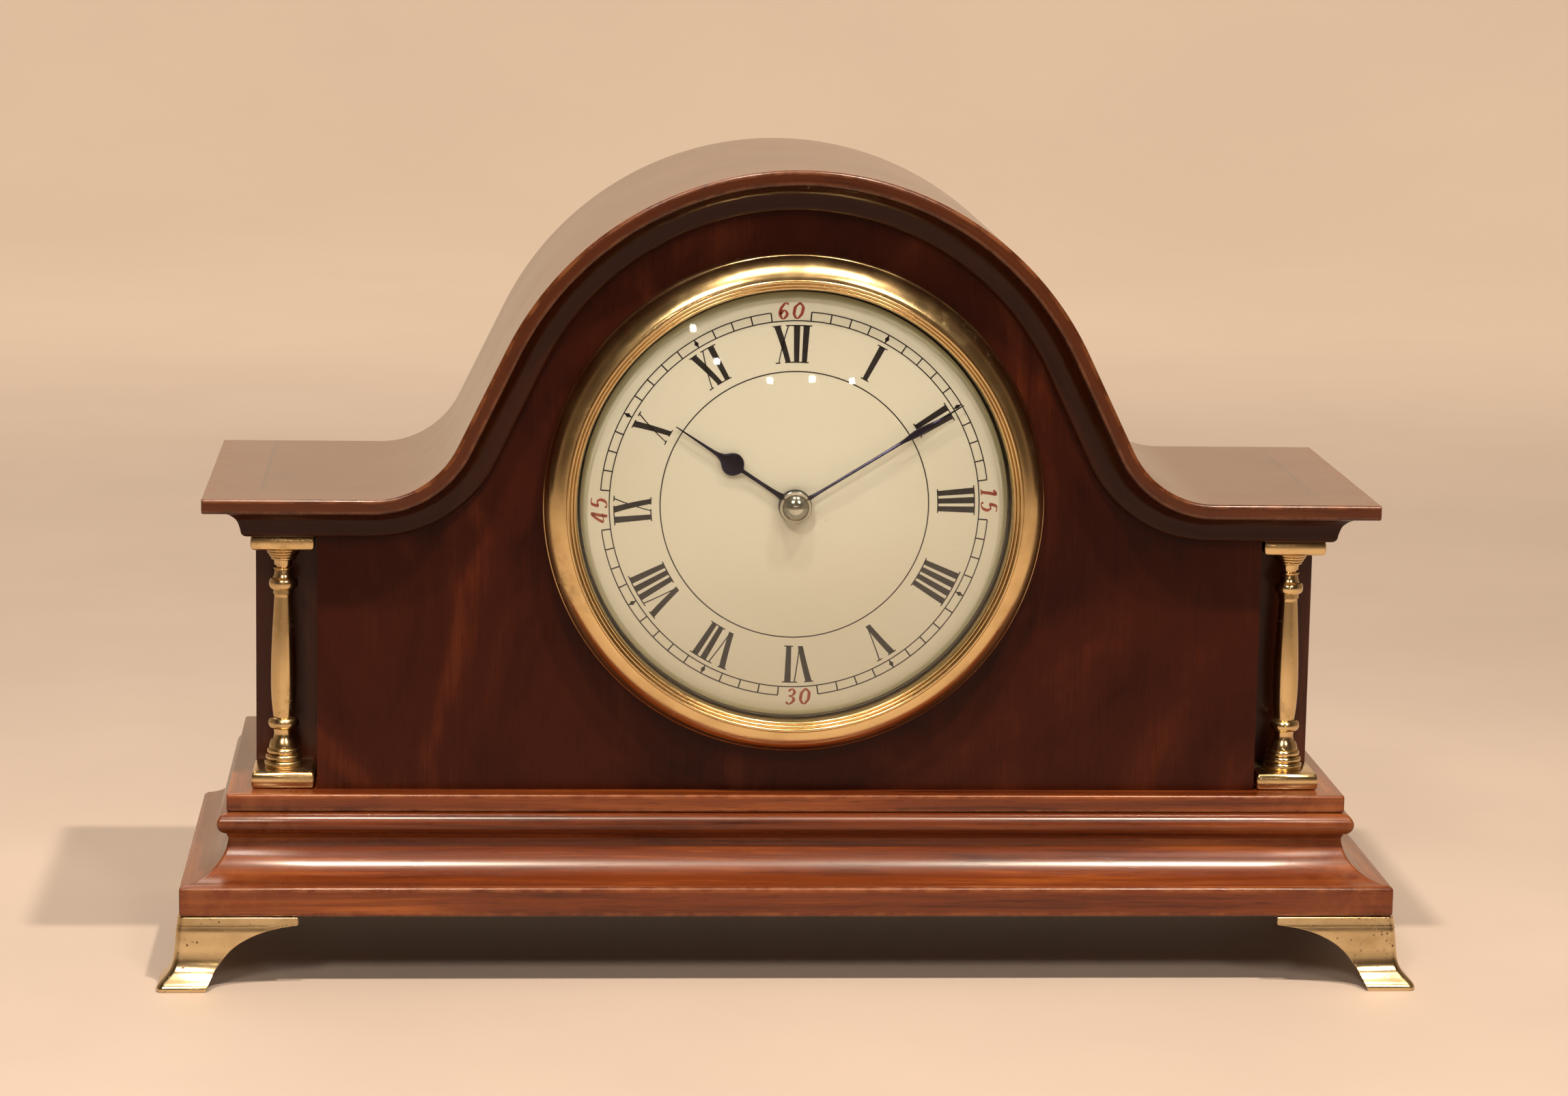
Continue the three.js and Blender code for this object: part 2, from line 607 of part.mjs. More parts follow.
// An arbor that runs in both plates, thicker between them.
function arbor([x, z], front, back, radius = ARBOR_RADIUS) {
  const shoulderFront = Math.max(front, TRAIN + SIDE_SHAKE);
  const shoulderBack = Math.min(back, BACK_PLATE_FACE - SIDE_SHAKE);
  const profile = [
    [0, front], [PIVOT_RADIUS, front], [PIVOT_RADIUS, shoulderFront], [radius, shoulderFront],
    [radius, shoulderBack], [PIVOT_RADIUS, shoulderBack], [PIVOT_RADIUS, back], [0, back],
  ];
  return turned(profile, 12, x, z + DIAL_CENTRE);
}

const PHASE = {};
PHASE.centreWheel = 0;
PHASE.centrePinion = 0;
PHASE.second = meshPhase(SECOND_TEETH, SECOND_AT, CENTRE_PINION, PHASE.centrePinion, [0, 0]);
PHASE.secondPinion = 0;
PHASE.barrel = meshPhase(BARREL_TEETH, BARREL_AT, SECOND_PINION, PHASE.secondPinion, SECOND_AT);
PHASE.thirdPinion = meshPhase(THIRD_PINION, THIRD_AT, CENTRE_TEETH, PHASE.centreWheel, [0, 0]);
PHASE.third = 0;
PHASE.fourthPinion = meshPhase(FOURTH_PINION, FOURTH_AT, THIRD_TEETH, PHASE.third, THIRD_AT);
PHASE.fourth = 0;
PHASE.escapePinion = meshPhase(ESCAPE_PINION, ESCAPE_AT, FOURTH_TEETH, PHASE.fourth, FOURTH_AT);
PHASE.cannon = 0;
PHASE.minuteWheel = meshPhase(MINUTE_WHEEL_TEETH, MINUTE_WHEEL_AT, CANNON_TEETH, PHASE.cannon, [0, 0]);
PHASE.minutePinion = 0;
PHASE.hour = meshPhase(HOUR_TEETH, [0, 0], MINUTE_PINION, PHASE.minutePinion, MINUTE_WHEEL_AT);

// Levels of the wheels, from the front plate's inner face; those at the back go with the back plate.
const LEVEL = {
  centreWheel: [0.9, 2.1],
  thirdPinion: [0.7, 2.5],
  third: [8, 9.2],
  fourthPinion: [7.4, 9.8],
  barrel: [3.2, PLATE_GAP - 7],
  barrelTeeth: [PLATE_GAP - 10.6, PLATE_GAP - 8.6],
  secondPinion: [PLATE_GAP - 11.2, PLATE_GAP - 8],
  second: [PLATE_GAP - 5, PLATE_GAP - 3.8],
  centrePinion: [PLATE_GAP - 5.6, PLATE_GAP - 3.1],
  fourth: [PLATE_GAP - 2.1, PLATE_GAP - 1.1],
  escapePinion: [PLATE_GAP - 2.6, PLATE_GAP - 0.7],
};

const level = (name) => LEVEL[name].map((depth) => TRAIN + depth);
const thickness = ([front, back]) => back - front;

// A wheel and its pinion on their arbor.
function wheelAndPinion(parts) {
  const { place, wheel, teeth, module, phase, pinion, leaves, leafModule, leafPhase, ends } = parts;
  const rim = wheelRim(teeth, module, phase, place, level(wheel)[0], thickness(LEVEL[wheel]));
  const leaf = pinionLeaves(leaves, leafModule, leafPhase, place, ...level(pinion));
  return join(arbor(place, ...ends), rim, leaf);
}

const BETWEEN_PLATES = [FRONT_PLATE_FACE + 0.2, BEHIND_PLATES - 0.2];
const CANNON_BACK = FRONT_PLATE_FACE - SIDE_SHAKE;
const KNOB_FRONT = BEHIND_PLATES + 15;

function centreWheel() {
  const ends = [MINUTE_HAND_FRONT - 0.1, KNOB_FRONT];
  const place = [0, 0];
  return wheelAndPinion({
    place, wheel: "centreWheel", teeth: CENTRE_TEETH, module: CENTRE_MODULE, phase: PHASE.centreWheel,
    pinion: "centrePinion", leaves: CENTRE_PINION, leafModule: SECOND_MODULE,
    leafPhase: PHASE.centrePinion, ends,
  });
}

const secondWheel = () => wheelAndPinion({
  place: SECOND_AT, wheel: "second", teeth: SECOND_TEETH, module: SECOND_MODULE, phase: PHASE.second,
  pinion: "secondPinion", leaves: SECOND_PINION, leafModule: BARREL_MODULE,
  leafPhase: PHASE.secondPinion, ends: BETWEEN_PLATES,
});

const thirdWheel = () => wheelAndPinion({
  place: THIRD_AT, wheel: "third", teeth: THIRD_TEETH, module: THIRD_MODULE, phase: PHASE.third,
  pinion: "thirdPinion", leaves: THIRD_PINION, leafModule: CENTRE_MODULE,
  leafPhase: PHASE.thirdPinion, ends: BETWEEN_PLATES,
});

const fourthWheel = () => wheelAndPinion({
  place: FOURTH_AT, wheel: "fourth", teeth: FOURTH_TEETH, module: FOURTH_MODULE, phase: PHASE.fourth,
  pinion: "fourthPinion", leaves: FOURTH_PINION, leafModule: THIRD_MODULE,
  leafPhase: PHASE.fourthPinion, ends: BETWEEN_PLATES,
});

const PLATFORM_FRONT = BEHIND_PLATES + 0.3;
const PLATFORM_THICK = 1.2;
const PLATFORM_BACK = PLATFORM_FRONT + PLATFORM_THICK;
const ESCAPE_FRONT = PLATFORM_BACK + 1;
const COCK_FRONT = PLATFORM_BACK + 5.2;
const COCK_THICK = 1.2;
const STAFF_END = COCK_FRONT + COCK_THICK - 0.1;

function escapeWheel() {
  const teeth = Array.from({ length: ESCAPE_TEETH }, (_, i) => {
    const turn = (2 * Math.PI * i) / ESCAPE_TEETH;
    return [
      polar(ESCAPE_RADIUS * 0.76, turn), polar(ESCAPE_RADIUS, turn + 0.16), polar(ESCAPE_RADIUS, turn + 0.24),
    ];
  }).flat();
  const wheel = slab(at(ESCAPE_AT, teeth), ESCAPE_FRONT, ESCAPE_FRONT + 0.5);
  const leaves = pinionLeaves(
    ESCAPE_PINION, FOURTH_MODULE, PHASE.escapePinion, ESCAPE_AT, ...level("escapePinion"),
  );
  const [front, back] = [level("escapePinion")[0] - 0.4, COCK_FRONT - SIDE_SHAKE];
  const shaft = [[0, front], [0.4, front], [0.4, back], [0, back]];
  return join(turned(shaft, 10, ESCAPE_AT[0], ESCAPE_AT[1] + DIAL_CENTRE), wheel, leaves);
}

const BARREL_ARBOR_RADIUS = 2.2;
const BARREL_INNER = 14;
const BARREL_CAP_THICK = 0.9;

function barrelDrum() {
  const [front, back] = level("barrel");
  const [teethFront, teethBack] = level("barrelTeeth");
  const outer = (BARREL_MODULE * BARREL_TEETH) / 2 - DEDENDUM * BARREL_MODULE - 0.6;
  const bore = BARREL_ARBOR_RADIUS + SIDE_SHAKE;
  const profile = [
    [bore, front + 1], [bore, front], [outer, front], [outer, back],
    [BARREL_INNER, back], [BARREL_INNER, front + 1],
  ];
  const drum = turned(closed(profile), 24, BARREL_AT[0], BARREL_AT[1] + DIAL_CENTRE);
  const hollow = circle(BARREL_INNER + 0.4, 24);
  const ring = slab(
    at(BARREL_AT, toothed(BARREL_TEETH, BARREL_MODULE, PHASE.barrel)), teethFront, teethBack,
    [at(BARREL_AT, hollow)],
  );
  return join(drum, ring);
}

function barrelCap() {
  const back = level("barrel")[1];
  const disc = at(BARREL_AT, circle(BARREL_INNER - SEAT, 24));
  const hole = at(BARREL_AT, holeFor(BARREL_ARBOR_RADIUS, 12, 0, 0, SIDE_SHAKE));
  return slab(disc, back - BARREL_CAP_THICK - 0.2, back - 0.2, [hole]);
}

// A flat strip wound in a spiral from an inner to an outer radius.
function spiral(place, inner, outer, turns, steps, strip, front, back) {
  const line = (offset) => Array.from({ length: steps + 1 }, (_, i) =>
    polar(inner + ((outer - inner) * i) / steps + offset, (2 * Math.PI * turns * i) / steps),
  );
  return slab(at(place, [...line(strip / 2), ...line(-strip / 2).reverse()]), front, back);
}

function mainspring() {
  const [front, back] = level("barrel");
  const inner = BARREL_ARBOR_RADIUS + 1;
  return spiral(BARREL_AT, inner, BARREL_INNER - 1, 5, 50, 0.5, front + 1.4, back - 1.6);
}

const RATCHET_FRONT = BEHIND_PLATES + SIDE_SHAKE;
const RATCHET_THICK = 1.4;
const KEY_FRONT = BEHIND_PLATES + 8;
const SQUARE_HALF = 1.35;
const FRONT_JOURNAL = 1.4;
const REAR_JOURNAL = 1.9;

function barrelArbor() {
  const [x, z] = BARREL_AT;
  const profile = [
    [0, BETWEEN_PLATES[0]], [FRONT_JOURNAL, BETWEEN_PLATES[0]], [FRONT_JOURNAL, TRAIN + SIDE_SHAKE],
    [BARREL_ARBOR_RADIUS, TRAIN + SIDE_SHAKE], [BARREL_ARBOR_RADIUS, BACK_PLATE_FACE - SIDE_SHAKE],
    [REAR_JOURNAL, BACK_PLATE_FACE - SIDE_SHAKE], [REAR_JOURNAL, BEHIND_PLATES + 2], [0, BEHIND_PLATES + 2],
  ];
  const round = turned(profile, 12, x, z + DIAL_CENTRE);
  const square = block(
    x - SQUARE_HALF, x + SQUARE_HALF, BEHIND_PLATES + 1, KEY_FRONT + 9,
    z + DIAL_CENTRE - SQUARE_HALF, z + DIAL_CENTRE + SQUARE_HALF,
  );
  return join(round, square);
}

function ratchetWheel() {
  const teeth = Array.from({ length: RATCHET_TEETH }, (_, i) => {
    const turn = (2 * Math.PI * i) / RATCHET_TEETH;
    return [polar(RATCHET_RADIUS - 1.2, turn), polar(RATCHET_RADIUS, turn + 0.06)];
  }).flat();
  const hole = at(BARREL_AT, holeFor(REAR_JOURNAL, 12, 0, 0, SEAT));
  return slab(at(BARREL_AT, teeth), RATCHET_FRONT, RATCHET_FRONT + RATCHET_THICK, [hole]);
}

// The click: a pawl on a screw, its beak lying just off the ratchet's teeth.
const CLICK_PIN = 0.7;
const CLICK_AT = [BARREL_AT[0] - 3, BARREL_AT[1] + 12.4];

function click() {
  const outline = [
    ...arc(2, 0.4, Math.PI + 0.6, 6), [-1.4, -3.2], [-0.2, -5], [0.9, -4.6], [1.3, -2],
  ];
  const body = slab(at(CLICK_AT, outline), RATCHET_FRONT, RATCHET_FRONT + RATCHET_THICK);
  const pin = [
    [0, BEHIND_PLATES - 1.6], [CLICK_PIN, BEHIND_PLATES - 1.6],
    [CLICK_PIN, RATCHET_FRONT + 2.4], [0, RATCHET_FRONT + 2.4],
  ];
  return join(turned(pin, 12, CLICK_AT[0], CLICK_AT[1] + DIAL_CENTRE), body);
}

function windingKey() {
  const [x, z] = [BARREL_AT[0], BARREL_AT[1] + DIAL_CENTRE];
  const pipe = [[0, KEY_FRONT], [2.6, KEY_FRONT], [2.6, KEY_FRONT + 12], [0, KEY_FRONT + 12]];
  const wings = [
    ...arc(4, -2.2, 2.2, 8, KEY_WING - 4, 0),
    ...arc(4, Math.PI - 2.2, Math.PI + 2.2, 8, 4 - KEY_WING, 0),
  ].map(([px, pz]) => [x + px, pz]);
  const wing = slab(wings, 0, 2).rotateX(Math.PI / 2).translate(0, KEY_FRONT + 15, z - 1);
  const socket = block(
    x - SQUARE_HALF - SEAT, x + SQUARE_HALF + SEAT, KEY_FRONT - 1, KEY_FRONT + 9 + SEAT,
    z - SQUARE_HALF - SEAT, z + SQUARE_HALF + SEAT,
  );
  return cut(join(turned(pipe, 14, x, z), wing), socket);
}

function settingKnob() {
  const bore = PIVOT_RADIUS + SEAT / 2;
  const profile = [
    [bore, KNOB_FRONT - 4], [2, KNOB_FRONT - 4], [2, KNOB_FRONT - 2],
    [KNOB_RADIUS, KNOB_FRONT - 1.6], [KNOB_RADIUS, KNOB_FRONT + 1.6],
    [KNOB_RADIUS - 0.8, KNOB_FRONT + 2.2], [0, KNOB_FRONT + 2.2],
    [0, KNOB_FRONT + SEAT], [bore, KNOB_FRONT + SEAT],
  ];
  return turned(closed(profile), 20, 0, DIAL_CENTRE);
}

// ---- Motion work -------------------------------------------------------------------------
const CANNON_LEAVES = [1.9, CANNON_BACK];
const HOUR_WHEEL = [0.5, 1.4];
const MINUTE_WHEEL = [2.4, 3.2];

function cannonPinion() {
  const bore = PIVOT_RADIUS + RUNNING;
  const front = MINUTE_HAND_FRONT;
  const pipe = turned(closed([
    [bore, front], [CANNON_PIPE - SEAT, front], [CANNON_PIPE - SEAT, CANNON_BACK], [bore, CANNON_BACK],
  ]), 12, 0, DIAL_CENTRE);
  const leaves = slab(
    at([0, 0], toothed(CANNON_TEETH, MOTION_MODULE, PHASE.cannon)), ...CANNON_LEAVES,
    [circle(CANNON_PIPE - SEAT - 0.2, 12, 0, DIAL_CENTRE)],
  );
  return join(pipe, leaves);
}

function hourWheel() {
  const bore = CANNON_PIPE + SIDE_SHAKE - SEAT;
  const pipe = turned(closed([
    [bore, HOUR_HAND_FRONT - 0.2], [HOUR_PIPE - SEAT, HOUR_HAND_FRONT - 0.2],
    [HOUR_PIPE - SEAT, HOUR_WHEEL[1]], [bore, HOUR_WHEEL[1]],
  ]), 12, 0, DIAL_CENTRE);
  const wheel = slab(
    at([0, 0], toothed(HOUR_TEETH, MOTION_MODULE, PHASE.hour)), ...HOUR_WHEEL,
    [circle(HOUR_PIPE - SEAT - 0.2, 12, 0, DIAL_CENTRE)],
  );
  return join(pipe, wheel);
}

function minuteWheel() {
  const wheel = slab(
    at(MINUTE_WHEEL_AT, toothed(MINUTE_WHEEL_TEETH, MOTION_MODULE, PHASE.minuteWheel)),
    ...MINUTE_WHEEL,
  );
  const leaves = pinionLeaves(
    MINUTE_PINION, MOTION_MODULE, PHASE.minutePinion, MINUTE_WHEEL_AT,
    HOUR_WHEEL[0] - 0.4, MINUTE_WHEEL[0] + 0.1,
  );
  const [x, z] = MINUTE_WHEEL_AT;
  const [front, back] = [HOUR_WHEEL[0] - 1, FRONT_PLATE_FACE + 1.6];
  const pin = [[0, front], [PIVOT_RADIUS, front], [PIVOT_RADIUS, back], [0, back]];
  return join(turned(pin, 12, x, z + DIAL_CENTRE), wheel, leaves);
}

// ---- Plates and pillars ------------------------------------------------------------------
const PILLAR_PLACES = [30, 110, 180, 275].map((degrees) =>
  polar(PLATE_RADIUS - 5, THREE.MathUtils.degToRad(degrees)),
);
const pivotHole = ([x, z], radius = PIVOT_RADIUS) => holeFor(radius, 12, x, z + DIAL_CENTRE);
const TRAIN_PIVOTS = [SECOND_AT, THIRD_AT, FOURTH_AT];

function frontPlate() {
  const holes = [
    pivotHole([0, 0]), pivotHole(BARREL_AT, FRONT_JOURNAL), pivotHole(MINUTE_WHEEL_AT),
    ...TRAIN_PIVOTS.map((place) => pivotHole(place)),
  ];
  return slab(circle(PLATE_RADIUS, 40, 0, DIAL_CENTRE), FRONT_PLATE_FACE, TRAIN, holes);
}

function backPlate() {
  const holes = [
    pivotHole([0, 0]), pivotHole(BARREL_AT, REAR_JOURNAL), pivotHole(CLICK_AT, CLICK_PIN),
    pivotHole(ESCAPE_AT, 1.2), ...TRAIN_PIVOTS.map((place) => pivotHole(place)),
  ];
  return slab(circle(PLATE_RADIUS, 40, 0, DIAL_CENTRE), BACK_PLATE_FACE, BEHIND_PLATES, holes);
}

function pillar([x, z]) {
  const [front, back] = [TRAIN, BACK_PLATE_FACE];
  const middle = (front + back) / 2;
  const profile = [
    [0, front], [PILLAR_RADIUS + 0.6, front], [PILLAR_RADIUS + 0.6, front + 1.4],
    [PILLAR_RADIUS - 0.5, front + 2.4], [PILLAR_RADIUS, middle], [PILLAR_RADIUS - 0.5, back - 2.4],
    [PILLAR_RADIUS + 0.6, back - 1.4], [PILLAR_RADIUS + 0.6, back], [0, back],
  ];
  return turned(profile, 12, x, z + DIAL_CENTRE);
}

// ---- The lever platform on the back plate ------------------------------------------------
const BALANCE_RADIUS = 7.6;
const along = (distance, aside = 0) => {
  const [x, z] = polar(distance, PALLET_LINE, ...ESCAPE_AT);
  return [x - aside * Math.sin(PALLET_LINE), z + aside * Math.cos(PALLET_LINE)];
};
const world = (points) => points.map(([x, z]) => [x, z + DIAL_CENTRE]);

function platformPlate() {
  const half = BALANCE_RADIUS + 1.6;
  const outline = world([along(22.6, -half), along(22.6, half), along(-6, half), along(-6, -half)]);
  return slab(outline, PLATFORM_FRONT, PLATFORM_BACK, [
    pivotHole(ESCAPE_AT, 0.5), pivotHole(LEVER_AT, 0.4), pivotHole(BALANCE_AT, 0.4),
  ]);
}

function palletLever() {
  const outline = world([
    along(3.9, -3.6), along(4.5, -3.6), along(5.6, -1), along(9.8, -0.35), along(11.2, -0.8),
    along(11.2, -0.4), along(10.4, 0), along(11.2, 0.4), along(11.2, 0.8), along(9.8, 0.35),
    along(5.6, 1), along(4.5, 3.6), along(3.9, 3.6), along(4.7, 0.8), along(4.7, -0.8),
  ]);
  const body = slab(outline, ESCAPE_FRONT, ESCAPE_FRONT + 0.5);
  const [x, z] = LEVER_AT;
  const [front, back] = [PLATFORM_FRONT + 0.1, ESCAPE_FRONT + 1];
  const staff = [[0, front], [0.4, front], [0.4, back], [0, back]];
  return join(turned(staff, 10, x, z + DIAL_CENTRE), body);
}

function balanceWheel() {
  const [x, z] = [BALANCE_AT[0], BALANCE_AT[1] + DIAL_CENTRE];
  const [front, back] = [ESCAPE_FRONT + 1.3, ESCAPE_FRONT + 2.3];
  const window = (turn) => world([
    ...arc(BALANCE_RADIUS - 0.9, turn + 0.18, turn + Math.PI - 0.18, 8, ...BALANCE_AT),
    polar(1.4, turn + Math.PI - 0.6, ...BALANCE_AT), polar(1.4, turn + 0.6, ...BALANCE_AT),
  ]);
  const rim = slab(circle(BALANCE_RADIUS, 32, x, z), front, back, [window(0.4), window(0.4 + Math.PI)]);
  const staff = turned([
    [0, PLATFORM_FRONT + 0.1], [0.4, PLATFORM_FRONT + 0.1], [0.4, ESCAPE_FRONT + 1],
    [0.6, ESCAPE_FRONT + 1], [0.6, back + 1.4], [0.4, back + 1.4], [0.4, STAFF_END], [0, STAFF_END],
  ], 10, x, z);
  return join(staff, rim);
}

function hairspring() {
  const front = ESCAPE_FRONT + 2.7;
  return spiral(BALANCE_AT, 1.1, 4.6, 4, 40, 0.22, front, front + 0.3);
}

// The cock: an arm over the balance that stands on a foot on the platform.
function balanceCock() {
  const arm = world([along(22.4, -2.6), along(22.4, 2.6), along(11.6, 1.6), along(11.6, -1.6)]);
  const hole = pivotHole(BALANCE_AT, 0.4);
  const foot = world([along(22.4, -2.6), along(22.4, 2.6), along(21.9, 2.6), along(21.9, -2.6)]);
  return join(
    slab(arm, COCK_FRONT, COCK_FRONT + COCK_THICK, [hole]),
    slab(foot, PLATFORM_BACK, COCK_FRONT + 0.2),
  );
}

function regulator() {
  const front = COCK_FRONT + COCK_THICK + SIDE_SHAKE;
  const outline = world([
    along(12.4, -0.9), along(13.6, -1.7), along(14.8, -0.9), along(19, -0.3),
    along(19, 0.3), along(14.8, 0.9), along(13.6, 1.7), along(12.4, 0.9),
  ]);
  return slab(outline, front, front + 0.4, [pivotHole(BALANCE_AT, 0.4)]);
}

// ---- Straps, rear bezel and door ---------------------------------------------------------
// The straps lie beside the plates and draw the front bezel and the rear bezel together.
function strap(side) {
  const inner = side * STRAP_CENTRE;
  const outer = side * (STRAP_CENTRE + STRAP_THICK);
  const [low, high] = [DIAL_CENTRE - STRAP_WIDTH / 2, DIAL_CENTRE + STRAP_WIDTH / 2];
  const back = CASE_BACK - BACK_PANEL;
  const bar = block(
    Math.min(inner, outer), Math.max(inner, outer), TRAIN - PLATE_THICK, back - SEAT, low, high,
  );
  const lug = block(
    Math.min(side * (REAR_OPENING - 4), outer), Math.max(side * (REAR_OPENING - 4), outer),
    back - STRAP_THICK - SEAT, back - SEAT, low, high,
  );
  return join(bar, lug);
}

const HINGE_X = -(REAR_BEZEL_RADIUS + 1.6);
const HINGE_Y = DOOR_FACE + DOOR_THICK / 2;
const KNUCKLE_RADIUS = 1.4;
const KNUCKLE_HALF = 3;
const HINGE_HALF = 8;

function knuckle(z0, z1) {
  const bore = (HINGE_PIN_RADIUS + RUNNING) / Math.cos(Math.PI / 12);
  const profile = [[bore, z0], [KNUCKLE_RADIUS, z0], [KNUCKLE_RADIUS, z1], [bore, z1]];
  return turnedUpright(closed(profile), 12, HINGE_X, HINGE_Y).translate(0, 0, DIAL_CENTRE);
}

function rearBezel() {
  const profile = [
    [REAR_OPENING - REAR_TUBE_WALL, CASE_BACK - BACK_PANEL], [REAR_OPENING, CASE_BACK - BACK_PANEL],
    [REAR_OPENING, CASE_BACK], [REAR_BEZEL_RADIUS, CASE_BACK],
    [REAR_BEZEL_RADIUS, CASE_BACK + REAR_BEZEL_PROUD],
    [REAR_OPENING - REAR_TUBE_WALL, CASE_BACK + REAR_BEZEL_PROUD],
  ];
  const ring = turned(closed(profile), 40, 0, DIAL_CENTRE);
  const leaf = (z0, z1) => block(
    HINGE_X, 1 - REAR_BEZEL_RADIUS, CASE_BACK + 0.3, CASE_BACK + REAR_BEZEL_PROUD,
    DIAL_CENTRE + z0, DIAL_CENTRE + z1,
  );
  const round = HINGE_PIN_RADIUS + 1.2;
  const clear = block(
    HINGE_X - 2, HINGE_X + round, HINGE_Y - 0.2, HINGE_Y + 3, DIAL_CENTRE - 20, DIAL_CENTRE + 20,
  );
  const upper = [KNUCKLE_HALF + SIDE_SHAKE, HINGE_HALF];
  const lower = [-HINGE_HALF, -KNUCKLE_HALF - SIDE_SHAKE];
  const body = cut(join(ring, leaf(...upper), leaf(...lower)), clear);
  return join(body, knuckle(...upper), knuckle(...lower));
}

function rearDoor() {
  const radius = REAR_BEZEL_RADIUS - 1.4;
  const face = DOOR_FACE + DOOR_THICK;
  const profile = [
    [0, DOOR_FACE], [radius, DOOR_FACE], [radius, face - 0.3], [radius - 0.6, face],
    [radius - 4, face], [radius - 5, face + 0.5], [0, face + 0.5],
  ];
  const disc = turned(profile, 40, 0, DIAL_CENTRE);
  const leaf = block(
    HINGE_X + 1, 1 - radius, DOOR_FACE, face, DIAL_CENTRE - KNUCKLE_HALF, DIAL_CENTRE + KNUCKLE_HALF,
  );
  return join(disc, leaf, knuckle(-KNUCKLE_HALF, KNUCKLE_HALF));
}

function doorHingePin() {
  const [low, high] = [-HINGE_HALF - 0.4, HINGE_HALF + 0.4];
  const profile = [[0, low], [HINGE_PIN_RADIUS, low], [HINGE_PIN_RADIUS, high], [0, high]];
  return turnedUpright(profile, 12, HINGE_X, HINGE_Y).translate(0, 0, DIAL_CENTRE);
}

// ---- Assembly ----------------------------------------------------------------------------
const clock = new THREE.Group();
clock.name = "mantel_clock";

function piece(name, geometry, { color, roughness, metalness }) {
  const material = new THREE.MeshStandardMaterial({ color, roughness, metalness });
  const mesh = new THREE.Mesh(geometry, material);
  mesh.name = name;
  clock.add(mesh);
}

piece("base_board", mouldedBoard([[BASE_PROUD, FOOT_HEIGHT], [BASE_PROUD, BASE_TOP]]), BASE_WOOD);
piece("base_moulding", mouldedBoard(MIDDLE_SECTION), BASE_WOOD);
const topPlate = mouldedBoard([[TOP_PLATE_PROUD, MOULDING_TOP], [TOP_PLATE_PROUD, CASE_BOTTOM]]);
piece("base_top_plate", topPlate, BASE_WOOD);
piece("front_panel", frontPanel(), MAHOGANY_DARK);
piece("back_panel", backPanel(), MAHOGANY);
piece("roof_board", roofBoard(), MAHOGANY);
piece("cornice_front", corniceFront(), MAHOGANY_DARK);

for (const [word, side] of [["left", -1], ["right", 1]]) {
  piece(`${word}_side_panel`, sidePanel(side), MAHOGANY);
  piece(`cornice_${word}`, corniceReturn(side), MAHOGANY_DARK);
  piece(`${word}_column_capital`, columnCapital(side * COLUMN_X), BRASS);
  piece(`${word}_column_shaft`, columnShaft(side * COLUMN_X), BRASS);
  piece(`${word}_column_plinth`, columnPlinth(side * COLUMN_X), BRASS);
  piece(`front_${word}_foot`, bracketFoot(side, -1), BRASS);
  piece(`back_${word}_foot`, bracketFoot(side, 1), BRASS);
  piece(`${word}_strap`, strap(side), PLATE_BRASS);
}

piece("bezel", bezel(), BRASS);
piece("bezel_glass", bezelGlass(), GLASS);
piece("dial", dial(), ENAMEL);
piece("minute_hand", minuteHand(), BLUED_STEEL);
piece("hour_hand", hourHand(), BLUED_STEEL);
piece("hand_boss", handBoss(), STEEL);

piece("front_plate", frontPlate(), PLATE_BRASS);
piece("back_plate", backPlate(), PLATE_BRASS);
PILLAR_PLACES.forEach((place, i) => piece(`pillar_${i + 1}`, pillar(place), PLATE_BRASS));
piece("mainspring_barrel", barrelDrum(), PLATE_BRASS);
piece("barrel_cap", barrelCap(), PLATE_BRASS);
piece("mainspring", mainspring(), BLUED_STEEL);
piece("barrel_arbor", barrelArbor(), STEEL);
piece("ratchet_wheel", ratchetWheel(), STEEL);
piece("click", click(), STEEL);
piece("second_wheel", secondWheel(), PLATE_BRASS);
piece("centre_wheel", centreWheel(), PLATE_BRASS);
piece("third_wheel", thirdWheel(), PLATE_BRASS);
piece("fourth_wheel", fourthWheel(), PLATE_BRASS);
piece("escape_wheel", escapeWheel(), PLATE_BRASS);
piece("cannon_pinion", cannonPinion(), STEEL);
piece("hour_wheel", hourWheel(), PLATE_BRASS);
piece("minute_wheel", minuteWheel(), PLATE_BRASS);
piece("winding_key", windingKey(), BRASS);
piece("setting_knob", settingKnob(), BRASS);
piece("platform_plate", platformPlate(), PLATE_BRASS);
piece("pallet_lever", palletLever(), STEEL);
piece("balance_wheel", balanceWheel(), PLATE_BRASS);
piece("hairspring", hairspring(), BLUED_STEEL);
piece("balance_cock", balanceCock(), PLATE_BRASS);
piece("regulator", regulator(), STEEL);
piece("rear_bezel", rearBezel(), BRASS);
piece("rear_door", rearDoor(), BRASS);
piece("rear_door_pin", doorHingePin(), STEEL);

// The origin lies under the middle of the feet.
clock.position.y = -(CASE_BACK - BASE_PROUD) / 2;

export default clock;
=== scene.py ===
"""A mahogany mantel timepiece: its finished surfaces, finishes, light and view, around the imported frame."""

import json
import logging
import math
from dataclasses import dataclass, field, replace
from enum import Enum
from typing import Any, Iterable, Sequence

import bmesh
import bpy
import numpy as np
from mathutils import Matrix, Vector

